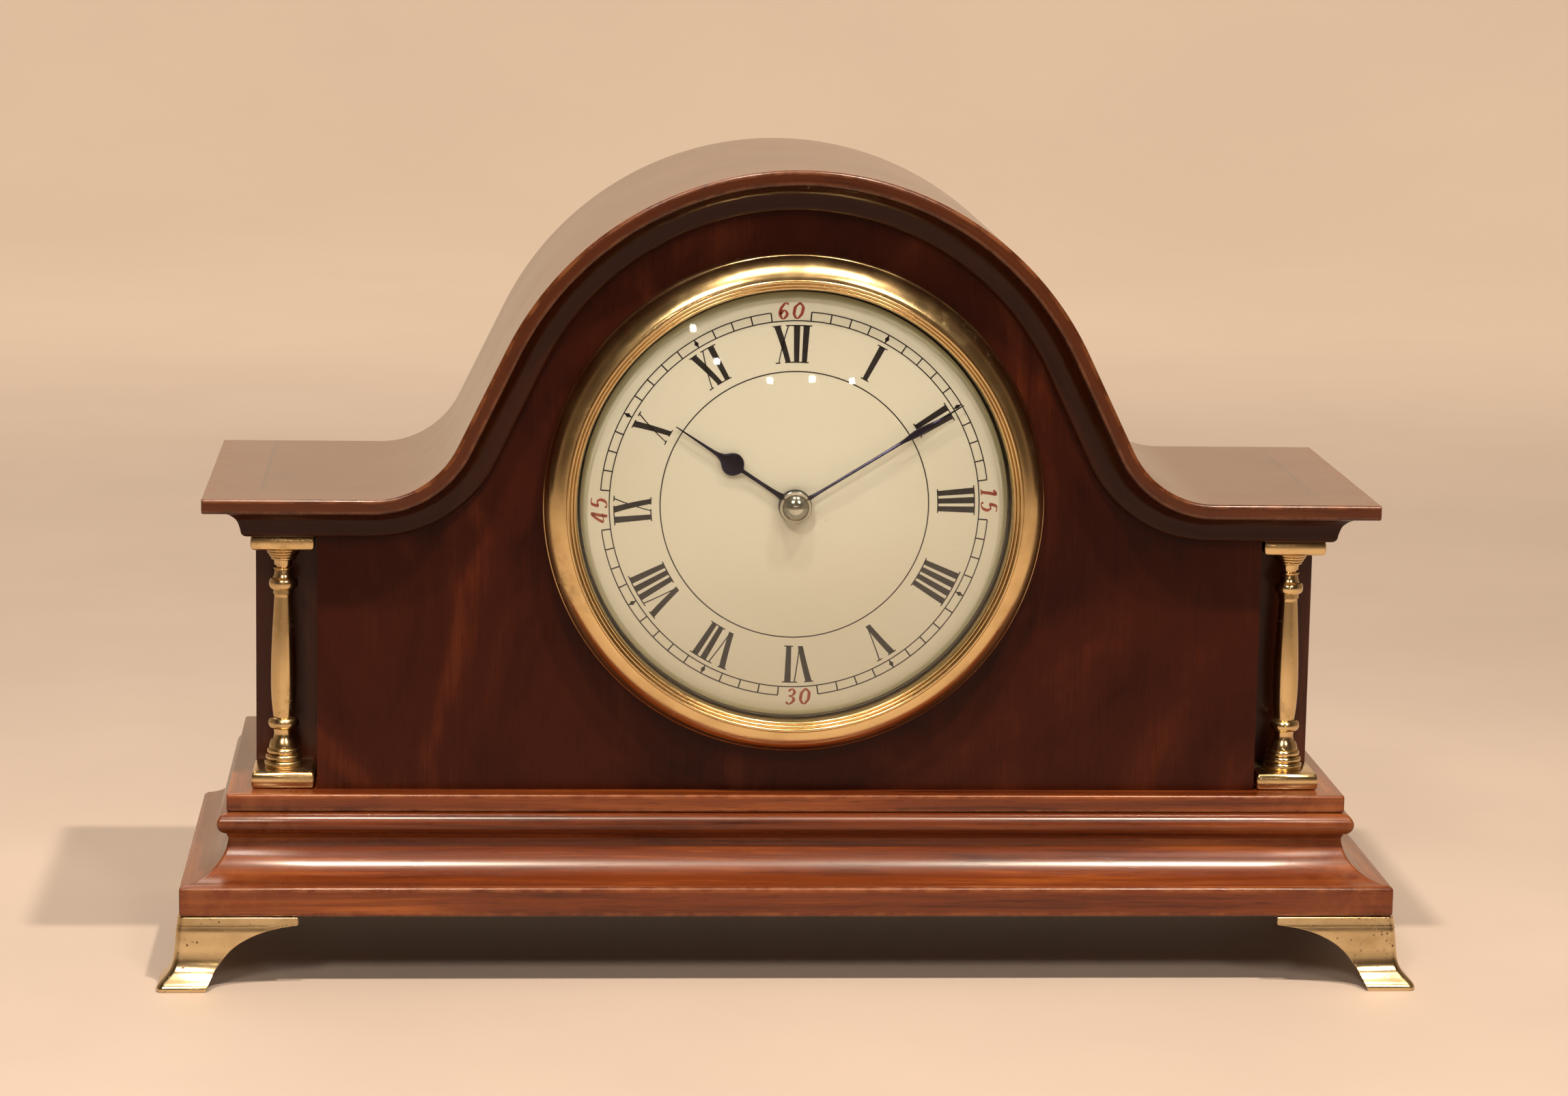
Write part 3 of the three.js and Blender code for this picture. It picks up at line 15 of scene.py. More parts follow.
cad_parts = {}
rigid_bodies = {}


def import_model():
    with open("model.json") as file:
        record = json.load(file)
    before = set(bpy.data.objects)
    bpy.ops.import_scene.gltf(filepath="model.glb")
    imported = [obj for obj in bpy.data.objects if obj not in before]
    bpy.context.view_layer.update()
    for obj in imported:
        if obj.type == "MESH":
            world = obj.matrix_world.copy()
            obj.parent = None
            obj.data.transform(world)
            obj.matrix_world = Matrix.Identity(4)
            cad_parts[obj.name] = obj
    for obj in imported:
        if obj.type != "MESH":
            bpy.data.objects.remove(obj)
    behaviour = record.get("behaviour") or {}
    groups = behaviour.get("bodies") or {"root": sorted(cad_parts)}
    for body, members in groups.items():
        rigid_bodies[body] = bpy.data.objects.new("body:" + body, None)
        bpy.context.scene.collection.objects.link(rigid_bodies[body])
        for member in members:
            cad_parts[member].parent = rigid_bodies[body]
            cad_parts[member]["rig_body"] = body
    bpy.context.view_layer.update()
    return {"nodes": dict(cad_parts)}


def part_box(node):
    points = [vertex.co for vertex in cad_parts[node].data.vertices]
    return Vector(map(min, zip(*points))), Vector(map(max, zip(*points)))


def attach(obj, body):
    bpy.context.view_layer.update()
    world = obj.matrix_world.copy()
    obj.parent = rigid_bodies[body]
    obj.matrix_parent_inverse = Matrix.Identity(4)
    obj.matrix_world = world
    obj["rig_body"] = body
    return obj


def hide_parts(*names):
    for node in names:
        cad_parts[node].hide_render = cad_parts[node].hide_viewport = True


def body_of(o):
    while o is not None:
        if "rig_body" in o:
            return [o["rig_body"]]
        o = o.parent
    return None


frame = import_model()

LOG = logging.getLogger("mantel_clock")
MM = 0.001
Colour = tuple[float, float, float]


# ---------------------------------------------------------------------------------------------
# Places taken from the frame, in millimetres
# ---------------------------------------------------------------------------------------------
@dataclass(frozen=True)
class Extent:
    """The box of one CAD node, in millimetres."""

    low: np.ndarray
    high: np.ndarray

    @classmethod
    def of(cls, node: str) -> "Extent":
        """Read a node's box from the frame.

        Args:
            node: The CAD node's name.

        Returns:
            Its lowest and highest corners.
        """
        low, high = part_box(node)
        return cls(np.array(low) / MM, np.array(high) / MM)

    @property
    def middle(self) -> np.ndarray:
        """The box's centre."""
        return (self.low + self.high) / 2


# ---------------------------------------------------------------------------------------------
# Meshes from arrays
# ---------------------------------------------------------------------------------------------
@dataclass
class Patch:
    """A grid of points with a grain coordinate at each: rows run along the piece, columns across it.

    Attributes:
        points: Rows by columns by three, in millimetres.
        grain: Rows by columns by two, metres along and across the grain.
        wear: Rows by columns, 1 where an edge is rubbed bright.
        ends: Whether the first and the last row are closed by a flat face.
    """

    points: np.ndarray
    grain: np.ndarray | None = None
    wear: np.ndarray | None = None
    ends: bool = False


def lengths(points: np.ndarray) -> np.ndarray:
    """Distance run along a line of points, starting at 0."""
    steps = np.linalg.norm(np.diff(points, axis=0), axis=1)
    return np.concatenate([[0.0], np.cumsum(steps)])


def arc(centre: Sequence[float], radius: float, start: float, end: float, steps: int) -> np.ndarray:
    """Points of a circular arc, angles in degrees, both ends included."""
    turn = np.radians(np.linspace(start, end, steps + 1))
    return np.c_[centre[0] + radius * np.cos(turn), centre[1] + radius * np.sin(turn)]


def smooth_line(points: Iterable[Sequence[float]], steps: int) -> np.ndarray:
    """A Catmull-Rom curve through the points: each stretch blends its four nearest points by a cubic.

    Args:
        points: The points that the curve passes through.
        steps: The number of steps between two points.

    Returns:
        The curve's points, one row each.
    """
    p = np.asarray(list(points), float)
    p = np.vstack([2 * p[0] - p[1], p, 2 * p[-1] - p[-2]])
    t = np.linspace(0, 1, steps, endpoint=False)[:, None]
    a, b, c, d = p[:-3, None], p[1:-2, None], p[2:-1, None], p[3:, None]
    bend, twist = 2 * a - 5 * b + 4 * c - d, 3 * b - a - 3 * c + d
    curve = 0.5 * (2 * b + (c - a) * t + bend * t**2 + twist * t**3)
    return np.vstack([curve.reshape(-1, p.shape[1]), p[-2]])


def grain_grid(along: np.ndarray, across: np.ndarray) -> np.ndarray:
    """Grain coordinates in metres, from distances along and across that are broadcast to one grid."""
    return np.stack(np.broadcast_arrays(along, across), -1) * MM


def set_at_depths(lines: Iterable[np.ndarray], depths: Iterable[float]) -> np.ndarray:
    """Lines of X and Z points, each at its own depth in Y, side by side as the columns of a grid."""
    return np.stack([np.c_[p[:, 0], np.full(len(p), y), p[:, 1]] for p, y in zip(lines, depths)], 1)


def build(name: str, patches: Iterable[Patch], sharp: float = 35.0) -> bpy.types.Object:
    """Put patches into one mesh object: quads between neighbouring grid points, seams and poles merged.

    Args:
        name: The piece's name.
        patches: The grids that make up the piece.
        sharp: Edges that turn by more than this many degrees stay sharp.

    Returns:
        The object, at the origin, in metres.
    """
    points, grain, wear, faces, start = [], [], [], [], 0
    for patch in patches:
        rows, columns = patch.points.shape[:2]
        index = np.arange(rows * columns).reshape(rows, columns) + start
        quads = np.stack([index[:-1, :-1], index[1:, :-1], index[1:, 1:], index[:-1, 1:]], -1)
        faces += quads.reshape(-1, 4).tolist()
        if patch.ends:
            faces += [index[0, :-1].tolist(), index[-1, :-1][::-1].tolist()]
        points.append(patch.points.reshape(-1, 3) * MM)
        none = np.zeros((rows, columns, 2))
        grain.append((none if patch.grain is None else patch.grain).reshape(-1, 2))
        wear.append((none[..., 0] if patch.wear is None else patch.wear).reshape(-1))
        start += rows * columns
    mesh = bpy.data.meshes.new(name)
    mesh.from_pydata(np.vstack(points).tolist(), [], faces)
    corner = np.zeros(len(mesh.loops), np.int32)
    mesh.loops.foreach_get("vertex_index", corner)
    layer = mesh.uv_layers.new(name="grain")
    layer.data.foreach_set("uv", np.vstack(grain)[corner].astype(np.float32).ravel())
    rubbed = mesh.attributes.new("wear", "FLOAT", "POINT")
    rubbed.data.foreach_set("value", np.concatenate(wear).astype(np.float32))
    shell = bmesh.new()
    shell.from_mesh(mesh)
    bmesh.ops.remove_doubles(shell, verts=shell.verts, dist=1e-6)
    bmesh.ops.dissolve_degenerate(shell, edges=shell.edges, dist=1e-7)
    bmesh.ops.recalc_face_normals(shell, faces=shell.faces)
    shell.to_mesh(mesh)
    shell.free()
    mesh.shade_smooth()
    mesh.set_sharp_from_angle(angle=math.radians(sharp))
    piece = bpy.data.objects.new(name, mesh)
    bpy.context.scene.collection.objects.link(piece)
    return piece


def soften(piece: bpy.types.Object, width: float, segments: int = 2) -> bpy.types.Object:
    """Round a piece's sharp edges by a width in millimetres."""
    bevel = piece.modifiers.new("soft_edges", "BEVEL")
    bevel.width = width * MM
    bevel.segments = segments
    bevel.limit_method = "ANGLE"
    bevel.angle_limit = math.radians(40)
    bevel.harden_normals = True
    return piece


class Axis(Enum):
    """The direction of a turned piece's axis."""

    DEPTH = "Y"
    UP = "Z"


def turned(profile: np.ndarray, at: Sequence[float], axis: Axis, around: int = 96) -> Patch:
    """Carry a profile of radius and distance once round an axis.

    Args:
        profile: Radius and distance along the axis at each point, in millimetres.
        at: A point on the axis.
        axis: The axis's direction.
        around: The number of steps round.

    Returns:
        A patch whose grain runs round the axis, with the profile's length across it.
    """
    turn = np.linspace(0, 2 * math.pi, around + 1)[:, None]
    radius = profile[None, :, 0]
    distance = np.broadcast_to(profile[None, :, 1], (around + 1, len(profile)))
    first, second = radius * np.cos(turn), radius * np.sin(turn)
    if axis is Axis.DEPTH:
        points = np.stack([at[0] + first, distance, at[2] + second], -1)
    else:
        points = np.stack([at[0] + first, at[1] + second, distance], -1)
    return Patch(points, grain_grid(turn * np.max(profile[:, 0]), lengths(profile)))


# ---------------------------------------------------------------------------------------------
# Shader maths
# ---------------------------------------------------------------------------------------------
class Value:
    """A number that varies over a surface; arithmetic on it adds Math nodes."""

    def __init__(self, graph: "Graph", socket: bpy.types.NodeSocket) -> None:
        """Wrap an output socket of a graph."""
        self.graph = graph
        self.socket = socket

    def _math(self, operation: str, *others: Any) -> "Value":
        """Add one Math node that works on this value and the others."""
        return self.graph.node("ShaderNodeMath", {"operation": operation}, *others).value()

    def __add__(self, other: Any) -> "Value":
        """Sum."""
        return self._math("ADD", self, other)

    __radd__ = __add__

    def __sub__(self, other: Any) -> "Value":
        """Difference."""
        return self._math("SUBTRACT", self, other)

    def __rsub__(self, other: Any) -> "Value":
        """Difference from a number."""
        return self._math("SUBTRACT", other, self)

    def __mul__(self, other: Any) -> "Value":
        """Product."""
        return self._math("MULTIPLY", self, other)

    __rmul__ = __mul__

    def __gt__(self, other: Any) -> "Value":
        """1 where this is greater, else 0."""
        return self._math("GREATER_THAN", self, other)

    def __lt__(self, other: Any) -> "Value":
        """1 where this is less, else 0."""
        return self._math("LESS_THAN", self, other)

    def __abs__(self) -> "Value":
        """Size without sign."""
        return self._math("ABSOLUTE", self)

    def above(self, low: float, high: float) -> "Value":
        """A smooth rise from 0 at low to 1 at high."""
        settings = {"interpolation_type": "SMOOTHSTEP", "clamp": True}
        return self.graph.node("ShaderNodeMapRange", settings, self, low, high, 0.0, 1.0).value()


class Made:
    """A node that has been added, with its outputs."""

    def __init__(self, graph: "Graph", node: bpy.types.Node) -> None:
        """Keep the node and its graph."""
        self.graph = graph
        self.node = node

    def value(self, name: str | int = 0) -> Value:
        """One output as a value."""
        return Value(self.graph, self.node.outputs[name])


class Graph:
    """A material's node tree, written as expressions."""

    def __init__(self, name: str) -> None:
        """Start an empty material."""
        self.material = bpy.data.materials.new(name)
        self.material.use_nodes = True
        self.tree = self.material.node_tree
        self.tree.nodes.clear()

    def node(self, kind: str, settings: dict[str, Any], *inputs: Any, **named: Any) -> Made:
        """Add a node.

        Args:
            kind: The node's type.
            settings: Attributes set before its sockets.
            *inputs: A value, link or None for each socket in order.
            **named: The same by socket name, with _ for a space.

        Returns:
            The node that was added.
        """
        node = self.tree.nodes.new(kind)
        for key, setting in settings.items():
            setattr(node, key, setting)
        pairs = list(zip(node.inputs, inputs))
        pairs += [(node.inputs[name.replace("_", " ")], given) for name, given in named.items()]
        for socket, given in pairs:
            if isinstance(given, Value):
                self.tree.links.new(given.socket, socket)
            elif given is not None:
                socket.default_value = given
        return Made(self, node)

    def place(self) -> Value:
        """Object coordinates, in metres."""
        return self.node("ShaderNodeTexCoord", {}).value("Object")

    def grain(self) -> Value:
        """The piece's own coordinates along and across the grain, in metres."""
        return self.node("ShaderNodeUVMap", {"uv_map": "grain"}).value()

    def attribute(self, name: str) -> Value:
        """A number stored on the mesh."""
        return self.node("ShaderNodeAttribute", {"attribute_name": name}).value("Fac")

    def parts(self, vector: Value) -> tuple[Value, Value, Value]:
        """A vector's three numbers."""
        made = self.node("ShaderNodeSeparateXYZ", {}, vector)
        return made.value(0), made.value(1), made.value(2)

    def stretch(self, vector: Value, scale: Sequence[float], shift: float = 0.0) -> Value:
        """A vector scaled along each axis and moved by the same amount on each."""
        scaled = self.node("ShaderNodeVectorMath", {"operation": "MULTIPLY"}, vector, tuple(scale)).value()
        return self.node("ShaderNodeVectorMath", {"operation": "ADD"}, scaled, (shift, shift, shift)).value()

    def noise(
        self, vector: Value, scale: float, detail: float = 3.0, rough: float = 0.5, warp: float = 0.0
    ) -> Value:
        """Cloudy noise between 0 and 1."""
        sockets = {"Vector": vector, "Scale": scale, "Detail": detail, "Roughness": rough, "Distortion": warp}
        return self.node("ShaderNodeTexNoise", {}, **sockets).value("Fac")

    def cells(self, vector: Value, scale: float) -> Value:
        """Distance to the nearest of scattered points."""
        return self.node("ShaderNodeTexVoronoi", {}, Vector=vector, Scale=scale).value("Distance")

    def blend(self, amount: Any, first: Any, second: Any) -> Value:
        """A colour between two, each a colour or a link."""
        node = self.tree.nodes.new("ShaderNodeMix")
        node.data_type = "RGBA"
        for name, given in (("Factor_Float", amount), ("A_Color", first), ("B_Color", second)):
            socket = next(s for s in node.inputs if s.identifier == name)
            if isinstance(given, Value):
                self.tree.links.new(given.socket, socket)
            else:
                socket.default_value = given if name == "Factor_Float" else (*given, 1.0)
        return Value(self, next(s for s in node.outputs if s.identifier == "Result_Color"))

    def bump(
        self, height: Value, distance: float, strength: float = 1.0, under: Value | None = None
    ) -> Value:
        """A surface normal tipped by a height, in millimetres at a height of 1."""
        named = {"Strength": strength, "Distance": distance * MM, "Height": height}
        if under is not None:
            named["Normal"] = under
        return self.node("ShaderNodeBump", {}, **named).value()

    def surface(self, colour: Any, **named: Any) -> bpy.types.Material:
        """Finish with one Principled shader.

        Args:
            colour: A colour or a link.
            **named: The shader's other sockets, with _ for a space.

        Returns:
            The material.
        """
        base = colour if isinstance(colour, Value) else (*colour, 1.0)
        shader = self.node("ShaderNodeBsdfPrincipled", {}, Base_Color=base, **named)
        self.node("ShaderNodeOutputMaterial", {}, Surface=shader.value())
        return self.material


# ---------------------------------------------------------------------------------------------
# Finishes
# ---------------------------------------------------------------------------------------------
class GrainFrom(Enum):
    """Where a wood finish takes its grain coordinates from."""

    SURFACE = "the piece's own coordinates"
    UPRIGHT = "height, on a flat board"
    DEPTH = "front to back, on a flat board"


@dataclass(frozen=True)
class PolishedWood:
    """French-polished mahogany: streaks drawn out along the grain, pores, a soft figure and rubbed edges.

    Attributes:
        dark: The colour of the darkest streaks, then the middle and the light ones.
        rubbed: The colour of worn edges.
        grain: Where the grain coordinates come from.
        seed: How far the noise is moved, so that no two woods match.
        streak: How strongly the streaks show, and figure the same for the wide figure.
        roughness: The polish's middle roughness.
        gloss: The weight of the clear coat, and sheen the reflection under it.
        flame: The figure's scale along and across the grain, and warp how far it is bent.
        lines: The streaks' scale, then the fine lines', the pores' and the polish's waves.
    """

    name: str
    dark: Colour
    mid: Colour
    light: Colour
    rubbed: Colour = (0.42, 0.17, 0.06)
    grain: GrainFrom = GrainFrom.SURFACE
    seed: float = 0.0
    streak: float = 1.0
    figure: float = 0.5
    roughness: float = 0.24
    gloss: float = 0.5
    sheen: float = 0.15
    flame: tuple[float, float, float] = (9.0, 34.0, 20.0)
    warp: float = 1.4
    lines: tuple[float, float, float] = (16, 420, 420)
    hairs: tuple[float, float, float] = (70, 2600, 2600)
    pores: tuple[float, float, float] = (190, 4200, 4200)
    waves: tuple[float, float, float] = (30, 75, 75)
    inlay: "StringInlay | None" = None

    def coordinates(self, g: Graph) -> Value:
        """The vector whose first number runs along the grain."""
        if self.grain is GrainFrom.SURFACE:
            return g.grain()
        x, y, z = g.parts(g.place())
        order = (z, x, y) if self.grain is GrainFrom.UPRIGHT else (y, x, z)
        return g.node("ShaderNodeCombineXYZ", {}, *order).value()

    def make(self) -> bpy.types.Material:
        """Write the material.

        Streaks are noise drawn out along the grain, and pores are finer and scarcer; the figure is
        wide, warped noise across both. Rubbed edges follow the mesh's wear, broken up by noise.
        """
        g = Graph(self.name)
        at = self.coordinates(g)
        figure = g.noise(g.stretch(at, self.flame, self.seed), 1.0, 3, 0.55, self.warp)
        streaks = g.noise(g.stretch(at, self.lines, self.seed), 1.0, 5, 0.62, 0.35)
        fine = g.noise(g.stretch(at, self.hairs, self.seed + 3), 1.0, 2, 0.6)
        pores = g.noise(g.stretch(at, self.pores, self.seed + 7), 1.0, 1, 0.5).above(0.63, 0.76)
        middle = 0.31 * self.streak + self.figure / 2 - 0.4
        tone = streaks * (0.62 * self.streak) + figure * self.figure + fine * 0.2 - middle
        lower = g.blend(tone.above(0.18, 0.52), self.dark, self.mid)
        colour = g.blend(tone.above(0.5, 0.86), lower, self.light)
        colour = g.blend(pores * 0.55, colour, tuple(c * 0.4 for c in self.dark))
        broken = g.noise(g.place(), 240.0, 4, 0.65)
        rubbed = g.attribute("wear") * broken.above(0.36, 0.66)
        colour = g.blend(rubbed * 0.4, colour, self.rubbed)
        if self.inlay is not None:
            colour = self.inlay.over(g, colour)
        handled = g.noise(g.place(), 34.0, 4, 0.6)
        roughness = handled * 0.14 + fine * 0.06 + rubbed * 0.12 + (self.roughness - 0.1)
        waves = g.bump(g.noise(g.stretch(at, self.waves, self.seed), 1.0, 2, 0.5), 0.05, 0.5)
        skin = g.bump(fine * 0.5 - pores, 0.014, 0.6, waves)
        dents = g.cells(g.place(), 95.0).above(0.0, 0.09)
        normal = g.bump(dents, 0.05, 0.5, skin)
        return g.surface(
            colour, Roughness=roughness, Normal=normal, Specular_IOR_Level=self.sheen, Coat_Weight=self.gloss,
            Coat_Roughness=0.2, Coat_IOR=1.36
        )


@dataclass(frozen=True)
class StringInlay:
    """A dark string let into veneer at one distance from the front edge and from both ends.

    Attributes:
        inset: The distance from the edges, in millimetres.
        width: The string's width, in millimetres.
        run: The veneer's length along the grain, in millimetres.
        colour: The string's colour, and band the colour that darkens the veneer outside it.
    """

    inset: float
    width: float
    run: float
    colour: Colour = (0.012, 0.006, 0.005)
    band: Colour = (0.10, 0.03, 0.012)

    def over(self, g: Graph, colour: Value) -> Value:
        """Lay the string, and the crossbanding's darker tone outside it, over a colour.

        The string shows where the distance to the nearest edge equals the inset, to half its width.
        """
        along, across, _ = g.parts(g.grain())
        from_end = (abs(along - self.run * MM / 2) - self.run * MM / 2) * -1.0
        nearest = g.node("ShaderNodeMath", {"operation": "MINIMUM"}, from_end, across).value()
        line = abs(nearest - self.inset * MM) < (self.width * MM / 2)
        band = nearest < (self.inset * MM)
        toned = g.blend(band * (across > 0.0) * 0.28, colour, self.band)
        return g.blend(line * (across > 0.0) * 0.92, toned, self.colour)


@dataclass(frozen=True)
class Brass:
    """Golden brass with tool marks round it, finger-dulled areas and brown patina in blotches."""

    name: str
    bright: Colour = (0.80, 0.60, 0.31)
    dull: Colour = (0.50, 0.34, 0.15)
    patina: Colour = (0.16, 0.09, 0.04)
    roughness: float = 0.17
    tarnish: float = 0.35
    pits: float = 0.0
    lathe_marks: bool = True

    def make(self) -> bpy.types.Material:
        """Write the material.

        Patina lies where wide noise is high, ragged by finer noise; lathe marks are noise that changes
        only across the profile; pits are small round hollows where the patina is thick.
        """
        g = Graph(self.name)
        at = g.place()
        wide = g.noise(at, 46.0, 5, 0.62, 0.6)
        ragged = g.noise(at, 420.0, 4, 0.7)
        stain = (wide * 0.7 + ragged * 0.3).above(0.66 - 0.25 * self.tarnish, 0.82 - 0.2 * self.tarnish)
        dull = g.noise(at, 90.0, 4, 0.6).above(0.42, 0.72)
        colour = g.blend(dull * 0.5, self.bright, self.dull)
        colour = g.blend(stain * (0.25 + 0.6 * self.tarnish), colour, self.patina)
        spots = (1.0 - g.cells(at, 900.0).above(0.12, 0.3)) * ragged.above(0.5, 0.6)
        colour = g.blend(spots * self.pits, colour, self.patina)
        roughness = dull * 0.1 + stain * 0.26 + ragged * 0.06 + spots * (0.3 * self.pits)
        roughness = roughness + (self.roughness - 0.03)
        source = g.grain() if self.lathe_marks else at
        scale = (3, 5200, 1) if self.lathe_marks else (400, 400, 2600)
        marks = g.noise(g.stretch(source, scale), 1.0, 2, 0.6)
        worn = g.bump(ragged, 0.02, 0.35)
        normal = g.bump(marks - spots * self.pits * 3.0, 0.006, 0.5, worn)
        return g.surface(colour, Metallic=1.0, Roughness=roughness, Normal=normal)


@dataclass(frozen=True)
class Steel:
    """Polished or blued steel with fine lines and a faint change of tone."""

    name: str
    colour: Colour = (0.56, 0.55, 0.54)
    tint: Colour = (0.36, 0.35, 0.35)
    roughness: float = 0.2

    def make(self) -> bpy.types.Material:
        """Write the material: fine noise for the polish, wide noise for the tone."""
        g = Graph(self.name)
        at = g.place()
        tone = g.noise(at, 160.0, 4, 0.6)
        lines = g.noise(g.stretch(at, (900, 900, 5200)), 1.0, 2, 0.6)
        colour = g.blend(tone.above(0.35, 0.7), self.colour, self.tint)
        roughness = tone * 0.12 + lines * 0.06 + (self.roughness - 0.09)
        return g.surface(colour, Metallic=1.0, Roughness=roughness, Normal=g.bump(lines, 0.004, 0.4))


@dataclass(frozen=True)
class Enamel:
    """Cream vitreous enamel: a faint orange skin, slight yellowing and specks under a glassy coat."""

    name: str
    colour: Colour = (0.94, 0.86, 0.77)
    aged: Colour = (0.90, 0.80, 0.66)

    def make(self) -> bpy.types.Material:
        """Write the material: wide noise yellows it, sparse cells make specks."""
        g = Graph(self.name)
        at = g.place()
        yellowing = g.noise(at, 38.0, 4, 0.6).above(0.4, 0.75)
        specks = (1.0 - g.cells(at, 260.0).above(0.02, 0.05)) * g.noise(at, 120.0).above(0.55, 0.6)
        colour = g.blend(yellowing * 0.4, self.colour, self.aged)
        colour = g.blend(specks * 0.5, colour, (0.25, 0.18, 0.1))
        skin = g.noise(at, 700.0, 2, 0.5)
        return g.surface(
            colour, Roughness=skin * 0.1 + 0.32, Normal=g.bump(skin, 0.006, 0.3),
            Coat_Weight=0.35, Coat_Roughness=0.1
        )


@dataclass(frozen=True)
class Ink:
    """Fired enamel paint for the numerals, slightly uneven."""

    name: str
    colour: Colour

    def make(self) -> bpy.types.Material:
        """Write the material: fine noise thins the paint."""
        g = Graph(self.name)
        thin = g.noise(g.place(), 1500.0, 3, 0.6).above(0.45, 0.8)
        paler = tuple(min(1.0, c * 1.9 + 0.03) for c in self.colour)
        return g.surface(g.blend(thin * 0.5, self.colour, paler), Roughness=thin * 0.1 + 0.35)


@dataclass(frozen=True)
class ClearGlass:
    """Clear convex glass: it lets light straight through and mirrors the room at its edges."""

    name: str
    tint: Colour = (0.96, 0.985, 0.965)
    mirror: float = 1.5

    def make(self) -> bpy.types.Material:
        """Write the material: a see-through shader mixed with a mirror by the Fresnel law."""
        g = Graph(self.name)
        clear = g.node("ShaderNodeBsdfTransparent", {}, (*self.tint, 1.0)).value()
        mirror = {"Base_Color": (1, 1, 1, 1), "Metallic": 1.0, "Roughness": 0.02}
        gloss = g.node("ShaderNodeBsdfPrincipled", {}, **mirror).value()
        amount = g.node("ShaderNodeFresnel", {}, self.mirror).value()
        mixed = g.node("ShaderNodeMixShader", {}, amount * 0.8, clear, gloss).value()
        g.node("ShaderNodeOutputMaterial", {}, Surface=mixed)
        return g.material


# ---------------------------------------------------------------------------------------------
# Pieces
# ---------------------------------------------------------------------------------------------
def finish_piece(
    piece: bpy.types.Object, body: str, material: bpy.types.Material,
    nodes: Sequence[str] = (),
) -> bpy.types.Object:
    """Give a new piece its material and its body, and hide the CAD nodes that it stands for."""
    piece.data.materials.append(material)
    if nodes:
        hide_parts(*nodes)
    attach(piece, body)
    LOG.info("made %s on %s", piece.name, body)
    return piece


def paint(node: str, material: bpy.types.Material, bevel: float = 0.0) -> None:
    """Give a carried-over CAD node a material on each of its slots, and round its edges."""
    piece = frame["nodes"][node]
    if not piece.material_slots:
        piece.data.materials.append(material)
    for place in piece.material_slots:
        place.material = material
    if bevel:
        soften(piece, bevel)
    LOG.info("finished %s", node)


def body_under(node: str) -> str:
    """The body that a CAD node rides on."""
    return body_of(frame["nodes"][node])[0]


def rounded(
    section: Sequence[Sequence[float]], radius: float, rub: float = 0.35
) -> tuple[np.ndarray, np.ndarray]:
    """Round each sharp corner of an open section and mark it as worn.

    A corner that turns by more than 30 degrees becomes a quadratic curve that starts and ends one
    radius from it; wear is 1 on the curve and falls to 0 at a further distance along each side.

    Args:
        section: The section's points in order.
        radius: The distance from the corner to the curve's ends.
        rub: The distance over which wear fades.

    Returns:
        The rounded section, and the wear at each of its points.
    """
    p = np.asarray(section, float)
    points, wear = [p[0]], [0.0]
    for before, corner, after in zip(p[:-2], p[1:-1], p[2:]):
        into, out = corner - before, after - corner
        reach_in, reach_out = np.linalg.norm(into), np.linalg.norm(out)
        into, out = into / reach_in, out / reach_out
        if np.dot(into, out) > math.cos(math.radians(30)):
            points.append(corner)
            wear.append(0.0)
            continue
        near, far = min(radius, reach_in * 0.45), min(radius, reach_out * 0.45)
        if reach_in * 0.5 > near + rub:
            points.append(corner - into * (near + rub))
            wear.append(0.0)
        start, end = corner - into * near, corner + out * far
        for t in np.linspace(0, 1, 5):
            points.append((1 - t) ** 2 * start + 2 * t * (1 - t) * corner + t**2 * end)
            wear.append(1.0)
        if reach_out * 0.5 > far + rub:
            points.append(corner + out * (far + rub))
            wear.append(0.0)
    return np.array(points + [p[-1]]), np.array(wear + [0.0])


